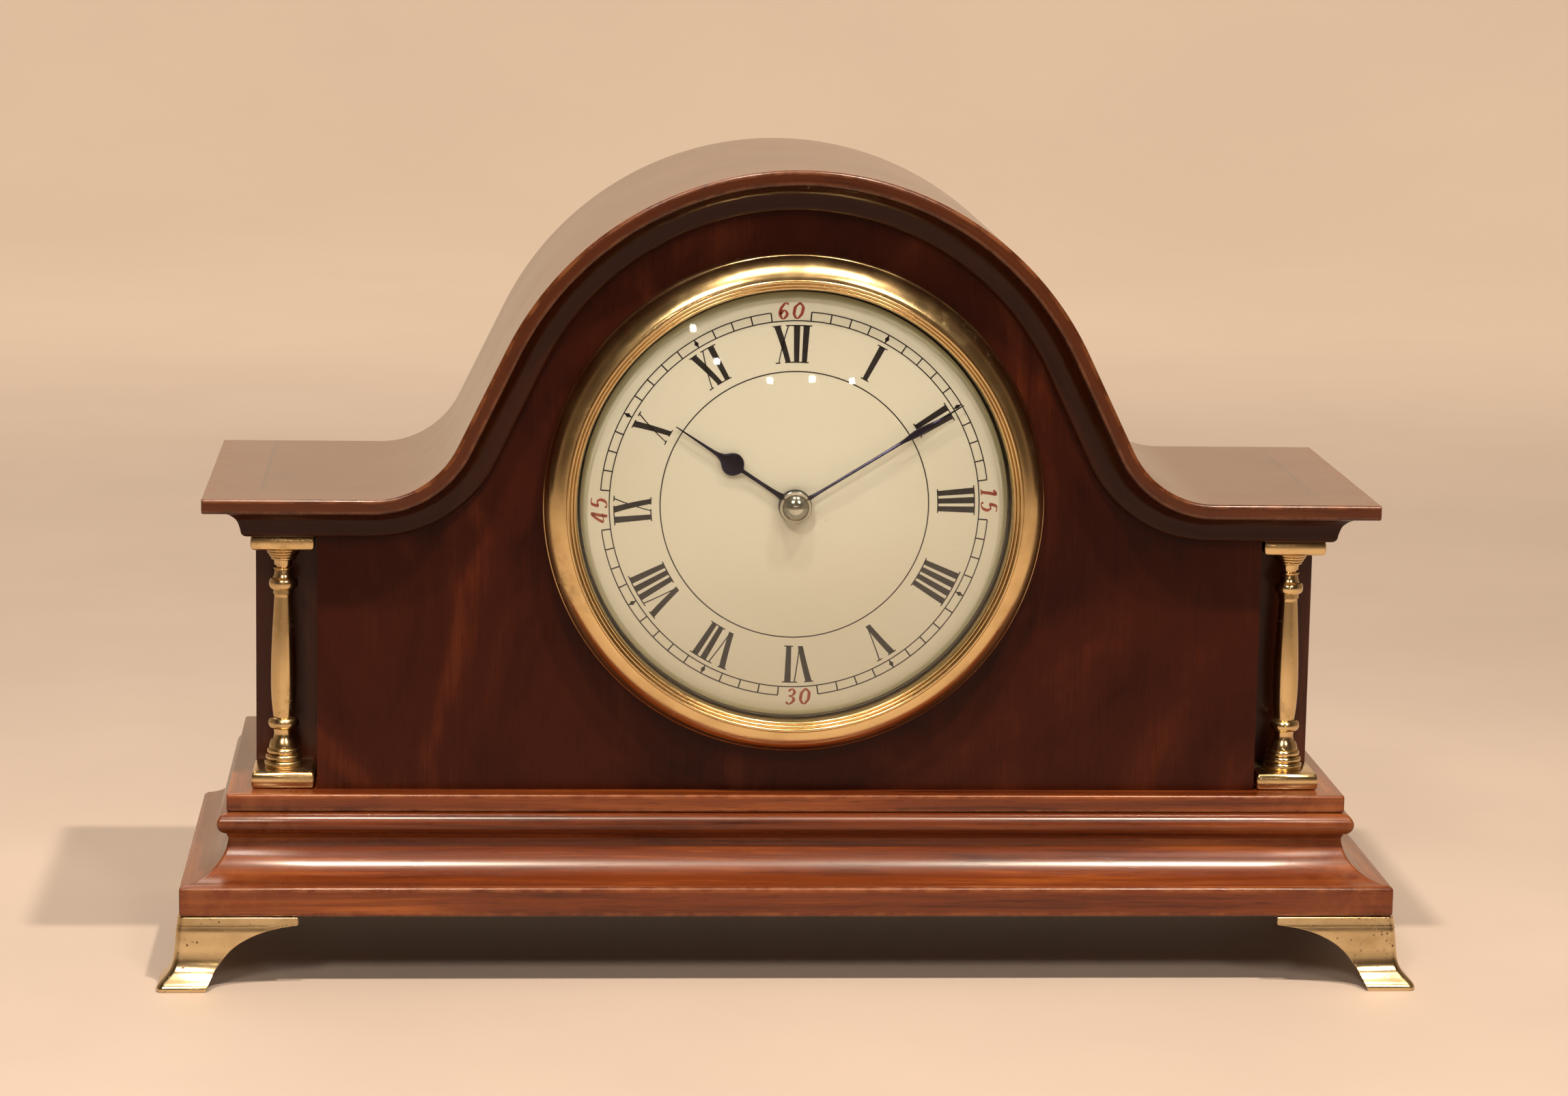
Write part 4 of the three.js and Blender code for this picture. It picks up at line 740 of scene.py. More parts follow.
@dataclass
class Moulding:
    """A board or moulding carried round the front and both sides of the case, flush at the back.

    Attributes:
        section: How far it stands proud of the case, and its height, from the underside up.
        wear: How far each point of the section is rubbed, from 0 to 1.
        half_width: Half the case's width.
        front: The case's front.
        back: The case's back.
        corner: How far the corners in plan are rubbed away.
        shift: How far the grain is moved along, so that no two boards match.
        plain: The distance from a corner within which a run has no point between.
        rub: The wear of the corners in plan.
    """

    section: np.ndarray
    wear: np.ndarray
    half_width: float
    front: float
    back: float
    corner: float = 0.5
    shift: float = 0.0
    plain: float = 12.0
    rub: float = 0.8

    def side(self, places: np.ndarray, out: np.ndarray, shift: float, edge: np.ndarray) -> Patch:
        """One run: the section set out along a line of places, each with its outward direction."""
        proud, height = self.section[:, 0], self.section[:, 1]
        xy = places[:, None, :] + out[:, None, :] * proud[None, :, None]
        points = np.dstack([xy, np.broadcast_to(height, xy.shape[:2])])
        along = lengths(places)[:, None] + shift + self.shift + np.zeros(len(proud))
        wear = np.maximum(self.wear[None, :], edge[:, None])
        return Patch(points, grain_grid(along, lengths(self.section)), wear)

    def patches(self) -> list[Patch]:
        """The front, both sides, the top, the underside and the back.

        The corner in plan is a quarter turn of small radius; every run's places keep the mitre's
        diagonal direction there, so the section is only moved, never squeezed.
        """
        w, c, plain = self.half_width, self.corner, self.plain
        turn = np.radians(np.linspace(0, 90, 5))
        rub = np.c_[c * (1 - np.cos(turn)), c * (1 - np.sin(turn))] + [-w, self.front]
        left = np.vstack([[-w, self.back], [-w, self.front + plain], [-w, self.front + c], rub[:3]])
        middle = np.c_[np.linspace(-w + plain, w - plain, 12), np.full(12, self.front)]
        front = np.vstack([rub[2:], middle, (rub[2:] * [-1, 1])[::-1]])
        left_out = np.array([[-1.0, 0.0]] * 2 + [[-1.0, -1.0]] * 4)
        front_out = np.array([[-1.0, -1.0]] * 3 + [[0.0, -1.0]] * 12 + [[1.0, -1.0]] * 3)
        left_edge = np.array([0.0] * 3 + [self.rub] * 3)
        front_edge = np.array([self.rub] * 3 + [0.0] * 12 + [self.rub] * 3)
        runs = [
            self.side(left, left_out, 900.0, left_edge),
            self.side(front, front_out, 0.0, front_edge),
            self.side(left * [-1, 1], left_out * [-1, 1], 1700.0, left_edge),
        ]
        caps = []
        for proud, z in (self.section[0], self.section[-1]):
            x = np.array([[-w - proud, w + proud]] * 2)
            y = np.array([[self.front - proud] * 2, [self.back] * 2])
            points = np.dstack([x, y, np.full((2, 2), z)])
            caps.append(Patch(points, points[..., :2] * MM))
        ends = np.stack([runs[0].points[0], runs[2].points[0]])
        return runs + caps + [Patch(ends, ends[..., [0, 2]] * MM)]


@dataclass
class RoofLine:
    """The case's arched outline: a flat shoulder, a hollow flank and a dome.

    Attributes:
        dome: The dome's radius.
        centre: The height of its centre.
        slope: The dome's half angle, in degrees.
        flank: The hollow's radius.
        shoulder: The height of the shoulder's top.
    """

    dome: float = 65.5
    centre: float = 101.3
    slope: float = 64.0
    flank: float = 19.0
    shoulder: float = 99.6

    def at(self, inward: float, half_width: float) -> np.ndarray:
        """Points from left to right of the line moved inward by a distance, always the same number.

        The dome's arc loses the distance from its radius and the hollow's arc gains it, so the
        lines stay parallel; a straight of one slope joins them.
        """
        slope = math.radians(self.slope)
        low = self.shoulder + self.flank
        drop = self.centre + (self.dome + self.flank) * math.cos(slope) - low
        hollow_x = (self.dome + self.flank) * math.sin(slope) + drop / math.sin(slope) * math.cos(slope)
        dome = arc((0, self.centre), self.dome - inward, 90, 90 - self.slope, 40)
        hollow = arc((hollow_x, low), self.flank + inward, 270 - self.slope, 270, 14)
        flat_x = np.linspace(hollow[-1, 0], half_width, 8)[1:]
        right = np.vstack([dome, hollow, np.c_[flat_x, np.full(7, self.shoulder - inward)]])
        return np.vstack([(right[1:] * [-1, 1])[::-1], right])


@dataclass
class Case:
    """The mahogany case: base, panels, cornice and roof, with places read from the frame.

    Attributes:
        dark: The cornice's wood, then the front panel's, the base's, the sides' and the roof's.
        line: The arched outline.
        board: The roof board's thickness.
        proud: How far the roof board stands out from the case.
        inner: How far the base's boards reach in behind the case's faces.
        arris: The radius of the roof board's rubbed edges.
        inset: The string inlay's distance from the roof's edge, and string its width.
    """

    dark: PolishedWood
    body: PolishedWood
    base: PolishedWood
    side: PolishedWood
    roof: PolishedWood
    line: RoofLine = field(default_factory=RoofLine)
    board: float = 3.1
    proud: float = 9.8
    inner: float = -6.0
    arris: float = 0.6
    inset: float = 11.5
    string: float = 0.6

    def __post_init__(self) -> None:
        """Read the case's faces from the frame."""
        panel = Extent.of("front_panel")
        self.half_width = float(panel.high[0])
        self.front = float(panel.low[1])
        self.back = float(Extent.of("back_panel").high[1])

    def moulded(
        self, name: str, section: np.ndarray, wear: np.ndarray, shift: float, wood: bpy.types.Material
    ) -> None:
        """Make one board of the base and put it on the case."""
        run = Moulding(section, wear, self.half_width, self.front, self.back, shift=shift)
        finish_piece(build(name, run.patches(), 30), "case", wood, [name])

    def make_base(self) -> None:
        """The base board, the middle moulding and the top plate.

        The moulding's section is a wide hollow arc, a narrow waist, and a round bead above it.
        """
        wood = self.base.make()
        low, top = Extent.of("base_board"), Extent.of("base_top_plate")
        foot, board, plate, deck = low.low[2], low.high[2], top.low[2], top.high[2]
        proud, lip = -low.low[1] + self.front, -top.low[1] + self.front
        inner = self.inner
        edge = [(inner, foot), (proud, foot), (proud, board), (inner, board)]
        self.moulded("base_board", *rounded(edge, 0.75), 0.0, wood)
        hollow = arc((proud - 0.9, board + 8.8), 8.6, -90, -176, 20)
        bead = arc((lip - 0.35, plate - 2.35), 2.2, -78, 82, 18)
        below, above = [[inner, board], [proud - 0.6, board]], [[lip - 0.7, plate], [inner, plate]]
        section = np.vstack([below, hollow, bead, above])
        worn = np.zeros(len(section))
        worn[1] = 0.4
        self.moulded("base_moulding", section, worn, 310.0, wood)
        edge = [(inner, plate), (lip, plate), (lip, deck), (inner, deck)]
        self.moulded("base_top_plate", *rounded(edge, 0.5), 620.0, wood)

    def make_roof(self) -> None:
        """The bent roof board: its section is carried along the arched line, from one end to the other.

        The section runs over the top, round the front arris, down the edge, round the lower arris and
        back underneath. Grain runs along the line; the second coordinate is the distance from the front.
        """
        front, back, t = self.front - self.proud, self.back, self.board
        half = self.half_width + self.proud
        r = self.arris
        turn = np.radians(np.linspace(0, 90, 5))
        top = [(0.0, back), (0.0, front + 40), (0.0, front + r + 0.3)]
        arris = [(r - r * math.cos(a), front + r - r * math.sin(a)) for a in turn]
        lower = [(t - r + r * math.sin(a), front + r - r * math.cos(a)) for a in turn]
        under = [(t, front + r + 0.3), (t, back), (0.0, back)]
        section = top + arris + [(r + 0.3, front), (t - r - 0.3, front)] + lower + under
        worn = [0.0] * 3 + [1.0] * 5 + [0.0] * 2 + [0.6] * 5 + [0.0] * 3
        lines = [self.line.at(down, half) for down, _ in section]
        points = set_at_depths(lines, [y for _, y in section])
        along = lengths(lines[0])
        across = np.array([-down - 0.05 for down, _ in section])
        on_top = [0, 1, 2, 3, -1]
        across[on_top] = [section[i][1] - front for i in on_top]
        grain = grain_grid(along[:, None], across)
        wear = np.tile(np.array(worn), (len(along), 1))
        wear[[0, 1, -2, -1], :4] = np.array([1, 0, 0, 1])[:, None]
        inlay = StringInlay(self.inset, self.string, float(along[-1]))
        wood = replace(self.roof, inlay=inlay).make()
        piece = build("roof_board", [Patch(points, grain, wear, ends=True)], 32)
        finish_piece(soften(piece, 0.3), "case", wood, ["roof_board"])

    def cornice_section(self) -> np.ndarray:
        """How far the cornice stands proud, and how far below the roof: a quarter round under a hollow."""
        cove = Extent.of("cornice_left")
        h = float(cove.high[2] - cove.low[2])
        quarter = arc((0.9, h - 1.45), 1.45, 90, 0, 8)
        sweep = ((2.35, 1.45), (2.6, 2.4), (3.2, 3.8), (4.6, 5.0), (6.2, 5.55))
        hollow = smooth_line([(proud, h - drop) for proud, drop in sweep], 5)
        return np.vstack([[0, h], quarter, hollow[1:], [7.4, 0.1], [7.4, 0.0]])

    def make_cornice(self) -> None:
        """The cornice follows the arched line at the front and returns straight along each side."""
        wood = self.dark.make()
        section = self.cornice_section()
        ribs = [self.line.at(self.board + down, self.half_width + proud) for proud, down in section]
        points = set_at_depths(ribs, self.front - section[:, 0])
        grain = grain_grid(lengths(ribs[0])[:, None], lengths(section))
        behind = set_at_depths([self.line.at(self.board, self.half_width)], [self.front])
        points = np.concatenate([behind, points, behind], 1)
        grain = np.concatenate([grain[:, :1], grain, grain[:, -1:]], 1)
        piece = build("cornice_front", [Patch(points, grain, ends=True)], 40)
        finish_piece(piece, "case", wood, ["cornice_front"])
        under = self.line.shoulder - self.board
        for word, side in (("left", -1), ("right", 1)):
            rows = []
            for mitre in (1.0, 0.0):
                y = self.front - section[:, 0] if mitre else np.full(len(section), self.back)
                ring = np.c_[side * (self.half_width + section[:, 0]), y, under - section[:, 1]]
                corner = [[side * self.half_width, self.front if mitre else self.back, under]]
                rows.append(np.vstack([corner, ring, corner]))
            points = np.stack(rows)
            across = np.concatenate([[0], lengths(section), [0]])
            grain = grain_grid(points[..., 1] + 700 * side, across)
            name = f"cornice_{word}"
            piece = build(name, [Patch(points, grain, ends=True)], 40)
            finish_piece(piece, "case", wood, [name])

    def make(self) -> None:
        """Make every part of the case."""
        self.make_base()
        self.make_roof()
        self.make_cornice()
        paint("front_panel", self.body.make(), 0.35)
        sides = self.side.make()
        for node in ("left_side_panel", "right_side_panel", "back_panel"):
            paint(node, sides, 0.3)


@dataclass
class Column:
    """One brass column: a square cap over stepped rings, a swelling shaft, and a stepped base on a square."""

    word: str
    metal: bpy.types.Material
    half: float = 6.45
    edge: float = 0.5

    def square(self, x: float, y: float, low: float, high: float, bulge: float) -> Patch:
        """A square block whose four faces bulge a little between rounded edges.

        Each level's half width follows a shallow curve, full in the middle of the height.
        """
        levels = np.array([0, 0.04, 0.12, 0.3, 0.5, 0.7, 0.88, 0.96, 1.0])
        inset = np.array([0.45, 0.2, 0.05, 0.0, 0.0, 0.0, 0.05, 0.2, 0.45])
        turn = np.radians(np.arange(0, 90, 18) + 9)
        rows = []
        for share, pulled in zip(levels, inset):
            h, r = self.half - pulled - bulge * (1 - 4 * share * (1 - share)), self.edge
            quadrant = np.c_[h - r + r * np.cos(turn), h - r + r * np.sin(turn)]
            quarters = [(quadrant * s)[:: s[0] * s[1]] for s in ((1, 1), (-1, 1), (-1, -1), (1, -1))]
            ring = np.vstack([*quarters, quarters[0][:1]])
            rows.append(np.c_[ring + [x, y], np.full(len(ring), low + share * (high - low))])
        points = np.stack(rows)
        grain = np.stack([points[..., 0], points[..., 2]], -1) * MM
        return Patch(points, grain, ends=True)

    @staticmethod
    def bead(neck: float, full: float, start: float, end: float) -> list[tuple[float, float]]:
        """A ring: radius and distance down, half an ellipse between two heights over its neck."""
        turn = np.linspace(0, math.pi, 9)
        middle, half = (start + end) / 2, (end - start) / 2
        return [(neck + (full - neck) * math.sin(a) ** 0.8, middle - half * math.cos(a)) for a in turn]

    def rings(self, name: str, stack: list[tuple[float, float]], extra: Sequence[Patch] = ()) -> None:
        """Turn a stack of rings, from the soffit down, into a piece together with its square."""
        cap = Extent.of(f"{self.word}_column_capital")
        x, y, soffit = cap.middle[0], cap.middle[1], cap.high[2]
        profile = np.array([(r, soffit - d) for r, d in stack])
        piece = build(name, [turned(profile, (x, y), Axis.UP, 64), *extra], 30)
        finish_piece(piece, "case", self.metal, [name])

    def make(self) -> None:
        """Make the capital, the shaft and the plinth."""
        cap = Extent.of(f"{self.word}_column_capital")
        foot = Extent.of(f"{self.word}_column_plinth")
        x, y = cap.middle[0], cap.middle[1]
        bead = self.bead
        block, pitch, top = 3.0, 0.62, 3.3
        capital = [(0, block - 0.2), (4.0, block - 0.2), (4.0, top)]
        for step, radius in enumerate((3.75, 3.35, 2.95, 2.6)):
            capital += bead(radius - 0.35, radius, top + step * pitch, top + (step + 1) * pitch)
        capital += [(2.0, 5.9), (1.9, 6.6), (1.9, 6.9), (0, 6.9)]
        square = self.square(x, y, cap.high[2] - block, cap.high[2], 0.1)
        self.rings(f"{self.word}_column_capital", capital, [square])
        shaft = [(0, 6.9), (1.55, 6.9), (1.5, 7.3)]
        shaft += bead(1.7, 2.1, 7.4, 7.9) + [(1.8, 8.0), (1.9, 8.6), (2.05, 9.3)]
        shaft += bead(2.3, 3.0, 9.6, 11.9) + [(2.1, 12.0), (2.15, 12.9), (1.95, 13.0)]
        swell = [(13.2, 1.9), (17, 2.12), (22, 2.4), (28, 2.62), (33, 2.62), (36.5, 2.4), (38.6, 2.15)]
        shaft += [(float(r), float(d)) for d, r in smooth_line(swell, 8)]
        shaft += bead(2.15, 3.2, 38.7, 41.1) + [(2.1, 41.3), (2.0, 42.2), (2.2, 43.0), (2.3, 43.2), (0, 43.2)]
        self.rings(f"{self.word}_column_shaft", shaft)
        plinth = [(0, 43.2), (2.5, 43.2), (2.8, 43.8), (3.0, 44.6), (3.05, 45.0)]
        plinth += bead(3.0, 3.45, 45.1, 46.3) + bead(3.3, 3.75, 46.4, 47.6) + bead(3.6, 4.0, 47.7, 48.9)
        plinth += [(3.9, 49.2), (0, 49.2)]
        square = self.square(x, y, foot.low[2], foot.low[2] + 3.5, 0.18)
        self.rings(f"{self.word}_column_plinth", plinth, [square])


@dataclass
class Foot:
    """One bracket foot: two thin leaves that meet at a corner and curl outwards at the toe.

    Attributes:
        node: The CAD node that it stands for.
        metal: Its material.
        thick: The leaves' thickness.
        corner: The radius of the outer corner.
        shelf: The reach of the shelf under the base board, and shelf_drop its thickness.
        levels: Height, flare outwards and reach inwards, from the toe up.
    """

    node: str
    metal: bpy.types.Material
    thick: float = 1.5
    corner: float = 1.3
    shelf: float = 12.0
    shelf_drop: float = 1.3
    levels: tuple[tuple[float, float, float], ...] = (
        (0, 4.3, 5.5), (0.7, 4.4, 5.7), (1.5, 4.0, 6.1), (2.5, 3.0, 6.6), (3.7, 2.0, 7.2),
        (5.2, 1.35, 8.2), (7.2, 1.05, 9.8), (9.0, 0.9, 11.8), (10.6, 0.75, 14.6), (11.7, 0.65, 17.4),
        (12.4, 0.55, 20.2), (12.8, 0.5, 22.6), (13.1, 0.45, 24.0),
    )

    def make(self) -> None:
        """Make the foot.

        Each level has the same plan, an L of two leaves with a rounded outer corner; how far it flares
        outwards and how far the leaves reach inwards change with height along smooth curves.
        """
        place = Extent.of(self.node)
        board = Extent.of("base_board")
        side = -1 if place.middle[0] < 0 else 1
        end = -1 if place.middle[1] < board.middle[1] else 1
        corner = (side * board.high[0], board.low[1] if end < 0 else board.high[1])
        height = float(board.low[2])
        rows = smooth_line([*self.levels, (height, 0.3, self.levels[-1][2])], 5)
        turn = np.radians(np.linspace(0, 90, 7))
        thick, r = self.thick, self.corner
        rings = []
        for z, flare, reach in rows:
            outer = np.c_[-flare + r - r * np.cos(turn), -flare + r - r * np.sin(turn)]
            inside = thick - flare
            web = inside if z < height - self.shelf_drop else self.shelf
            plan = [(-flare, reach), *outer, (reach, -flare), (reach, inside), (web, max(web, inside)),
                    (inside, reach), (-flare, reach)]
            ring = np.array(plan, float)
            x, y = corner[0] - side * ring[:, 0], corner[1] - end * ring[:, 1]
            rings.append(np.c_[x, y, np.full(len(ring), z)])
        points = np.stack(rings)
        grain = grain_grid(lengths(rings[0]), points[..., 2])
        piece = soften(build(self.node, [Patch(points, grain, ends=True)], 40), 0.25)
        finish_piece(piece, "case", self.metal, [self.node])


@dataclass
class Print:
    """Flat shapes fired onto the dial: each is a polygon in a polar frame turned into the dial's plane.

    Attributes:
        centre: The dial's centre, x and z.
        face: The depth of the printed face.
        tilt: How far the whole print is turned clockwise, in degrees.
        circle: The radius on which a numeral's sideways distances are measured.
    """

    centre: tuple[float, float]
    face: float
    tilt: float = -1.9
    circle: float = 32.6
    points: list[np.ndarray] = field(default_factory=list)
    faces: list[list[int]] = field(default_factory=list)

    def strip(self, first: np.ndarray, second: np.ndarray) -> None:
        """Fill between two lines of dial points (x and z from the centre)."""
        start = sum(len(p) for p in self.points)
        count = len(first)
        both = np.vstack([first, second])
        x, z = both[:, 0] + self.centre[0], both[:, 1] + self.centre[1]
        self.points.append(np.c_[x, np.full(2 * count, self.face), z])
        low = np.arange(start, start + count - 1)
        self.faces += np.c_[low, low + 1, low + count + 1, low + count].tolist()

    def ring(self, radius: float, width: float, start: float = 0.0, end: float = 360.0) -> None:
        """A thin ring, or a part of one between two clockwise angles from the top, in degrees."""
        steps = max(4, int((end - start) / 1.5))
        a = np.radians(90 - self.tilt - np.linspace(start, end, steps + 1))
        ray = np.c_[np.cos(a), np.sin(a)]
        self.strip(ray * (radius + width / 2), ray * (radius - width / 2))

    def bent(self, shape: np.ndarray, angle: float) -> np.ndarray:
        """Points of (sideways, radius) turned to a clockwise angle; sideways follows the circle."""
        a = math.radians(angle + self.tilt) + shape[:, 0] / self.circle
        return np.c_[np.sin(a), np.cos(a)] * shape[:, 1:]

    def quad(self, shape: Sequence[Sequence[float]], angle: float) -> None:
        """A four-sided stroke given by its corners, (sideways, radius), at an angle."""
        p = np.asarray(shape, float)
        t = np.linspace(0, 1, 5)[:, None]
        self.strip(self.bent(p[0] + (p[1] - p[0]) * t, angle), self.bent(p[3] + (p[2] - p[3]) * t, angle))

    def line(self, path: np.ndarray, width: np.ndarray) -> None:
        """A stroke of changing width along a path of dial points."""
        step = np.gradient(path, axis=0)
        size = np.maximum(np.linalg.norm(step, axis=1), 1e-9)
        normal = np.c_[-step[:, 1], step[:, 0]] / size[:, None]
        self.strip(path + normal * width[:, None] / 2, path - normal * width[:, None] / 2)

    def piece(self, name: str, body: str, material: bpy.types.Material, slot: str) -> bpy.types.Object:
        """Put the shapes into one mesh, facing the front."""
        mesh = bpy.data.meshes.new(name)
        mesh.from_pydata((np.vstack(self.points) * MM).tolist(), [], self.faces)
        mesh.update()
        made = bpy.data.objects.new(name, mesh)
        bpy.context.scene.collection.objects.link(made)
        return finish_piece(made, body, material)


@dataclass
class Dial:
    """The enamel dial with its numerals, minute track and red quarter figures.

    Attributes:
        enamel: The plate's finish, then the black and the red paint's.
        inner: The radius of the numerals' feet, and outer that of their heads.
        circle: The radius of the fine circle inside them.
        track: The inner and outer radius of the minute track.
        hair: The half width of a hairline.
        figures: The radius of the red figures' middle.
        print_lift: How far the print stands in front of the enamel.
    """

    enamel: Enamel
    black: Ink
    red: Ink
    inner: float = 29.3
    outer: float = 36.8
    circle: float = 27.4
    track: tuple[float, float] = (37.75, 39.6)
    hair: float = 0.12
    figures: float = 39.8
    print_lift: float = 0.03
    hours: tuple[str, ...] = ("XII", "I", "II", "III", "IIII", "V", "VI", "VII", "VIII", "IX", "X", "XI")

    def __post_init__(self) -> None:
        """Read the dial's place from the frame."""
        place = Extent.of("dial")
        self.centre = (float(place.middle[0]), float(place.middle[2]))
        self.face = float(place.low[1])
        self.radius = float(place.high[0] - place.middle[0])

    def make_plate(self) -> None:
        """The dial plate: a disc that dips very slightly at its rim."""
        hole, r = 2.6, self.radius
        profile = [(hole, self.face + 0.8), (hole, self.face + 0.1), (hole + 0.2, self.face)]
        profile += [(float(x), self.face) for x in np.linspace(4, r - 1.2, 12)]
        profile += [(r - 0.4, self.face + 0.12), (r, self.face + 0.4), (r, self.face + 0.8)]
        profile += [(hole, self.face + 0.8)]
        plate = turned(np.array(profile), (self.centre[0], 0, self.centre[1]), Axis.DEPTH, 128)
        finish_piece(build("dial", [plate]), "case", self.enamel.make(), ["dial"])

    def stroke(self, ink: Print, angle: float, bottom: float, top: float, width: float) -> None:
        """A stroke from the inner end's sideways place to the outer end's."""
        h, inner, outer = width / 2, self.inner, self.outer
        ink.quad([(bottom - h, inner), (top - h, outer), (top + h, outer), (bottom + h, inner)], angle)

    def serif(self, ink: Print, angle: float, left: float, right: float, radius: float) -> None:
        """A hairline across one end of a stroke."""
        h = self.hair
        ink.quad([(left, radius - h), (left, radius + h), (right, radius + h), (right, radius - h)], angle)

    def numeral(self, ink: Print, word: str, angle: float) -> None:
        """Write one hour, its letters side by side about the angle's line.

        I is one thick stroke; V is a thick and a thin stroke that meet at the inner end; X is a thick
        and a thin stroke that cross; each has hairline serifs across its ends.
        """
        thick, thin = 1.15, 0.24
        room = {"I": 1.75, "V": 3.7, "X": 3.7}
        start = -sum(room[letter] for letter in word) / 2
        for letter in word:
            middle = start + room[letter] / 2
            start += room[letter]
            if letter == "I":
                self.stroke(ink, angle, middle, middle, thick)
                self.serif(ink, angle, middle - 1.0, middle + 1.0, self.inner)
                self.serif(ink, angle, middle - 1.0, middle + 1.0, self.outer)
            elif letter == "V":
                self.stroke(ink, angle, middle + 0.1, middle - 1.15, thick)
                self.stroke(ink, angle, middle + 0.3, middle + 1.5, thin)
                self.serif(ink, angle, middle - 2.0, middle - 0.3, self.outer)
                self.serif(ink, angle, middle + 0.9, middle + 2.0, self.outer)
            else:
                self.stroke(ink, angle, middle + 0.85, middle - 0.85, thick)
                self.stroke(ink, angle, middle - 1.3, middle + 1.2, thin)
                self.serif(ink, angle, middle - 1.7, middle - 0.1, self.outer)
                self.serif(ink, angle, middle + 0.7, middle + 1.7, self.outer)
                self.serif(ink, angle, middle + 0.1, middle + 1.8, self.inner)
                self.serif(ink, angle, middle - 2.0, middle - 0.9, self.inner)

    def make_black(self) -> None:
        """The hours, the inner circle and the minute track, which breaks off at each quarter."""
        ink = Print(self.centre, self.face - self.print_lift)
        for hour, word in enumerate(self.hours):
            self.numeral(ink, word, 30.0 * hour)
        ink.ring(self.circle, 0.25)
        (low, high), h = self.track, self.hair
        middle = (low + high) / 2
        width = 2 * h
        ink.ring(low, width)
        for quarter in range(4):
            ink.ring(high, width, 90 * quarter + 6, 90 * quarter + 84)
        for minute in range(60):
            if minute % 15 == 0:
                continue
            ink.quad([(-h, low), (-h, high), (h, high), (h, low)], 6.0 * minute)
            if minute % 5 == 0:
                mark = [(-0.4, middle), (0.0, middle + 0.8), (0.4, middle), (0.0, middle - 0.8)]
                ink.quad(mark, 6.0 * minute)
        ink.piece("dial_numerals", "case", self.black.make(), "dial_enamel")

    def make_red(self) -> None:
        """The red figures of the quarters, sloping, all read upright but for those at the sides.

        Each figure is one or two smooth strokes through a few points on a grid one wide and two high;
        a stroke is thick where it runs upright and thin where it runs across.
        """
        figures: dict[str, list[list[tuple[float, float]]]] = {
            "0": [[(0.5, 2), (0.1, 1.5), (0.05, 1), (0.1, 0.5), (0.5, 0), (0.9, 0.5), (0.95, 1), (0.9, 1.5),
                   (0.5, 2)]],
            "1": [[(0.15, 1.6), (0.55, 1.95), (0.55, 1.0), (0.55, 0.0)], [(0.2, 0.02), (0.9, 0.02)]],
            "3": [[(0.15, 1.7), (0.5, 2), (0.85, 1.6), (0.7, 1.2), (0.4, 1.08), (0.8, 0.85), (0.9, 0.45),
                   (0.5, 0), (0.1, 0.3)]],
            "4": [[(0.75, 0), (0.75, 1), (0.75, 2), (0.05, 0.6), (1.0, 0.6)]],
            "5": [[(0.9, 1.95), (0.3, 1.95), (0.2, 1.1), (0.6, 1.25), (0.92, 0.8), (0.8, 0.2), (0.4, 0),
                   (0.08, 0.25)]],
            "6": [[(0.9, 1.8), (0.55, 2), (0.15, 1.4), (0.08, 0.6), (0.5, 0), (0.9, 0.55), (0.5, 1.1),
                   (0.12, 0.6)]],
        }
        ink = Print(self.centre, self.face - self.print_lift)
        for angle, word in ((0, "60"), (90, "15"), (180, "30"), (270, "45")):
            for place, figure in enumerate(word):
                for stroke in figures[figure]:
                    path = smooth_line(stroke, 8)
                    upright = np.abs(np.gradient(path[:, 1]))
                    speed = np.linalg.norm(np.gradient(path, axis=0), axis=1) + 1e-9
                    wide = 0.2 + 0.42 * (upright / speed) ** 2
                    x = (path[:, 0] - 0.5) * 1.5 + (place - 0.5) * 2.4 + (path[:, 1] - 1) * 0.25
                    up = (path[:, 1] - 1) * 1.6
                    flip = -1.0 if angle == 180 else 1.0
                    flat = np.c_[flip * x, self.figures + flip * up]
                    ink.line(ink.bent(flat, angle), wide)
        ink.piece("dial_red_figures", "case", self.red.make(), "dial_enamel")

    def make(self) -> None:
        """Make the plate and everything printed on it."""
        self.make_plate()
        self.make_black()
        self.make_red()


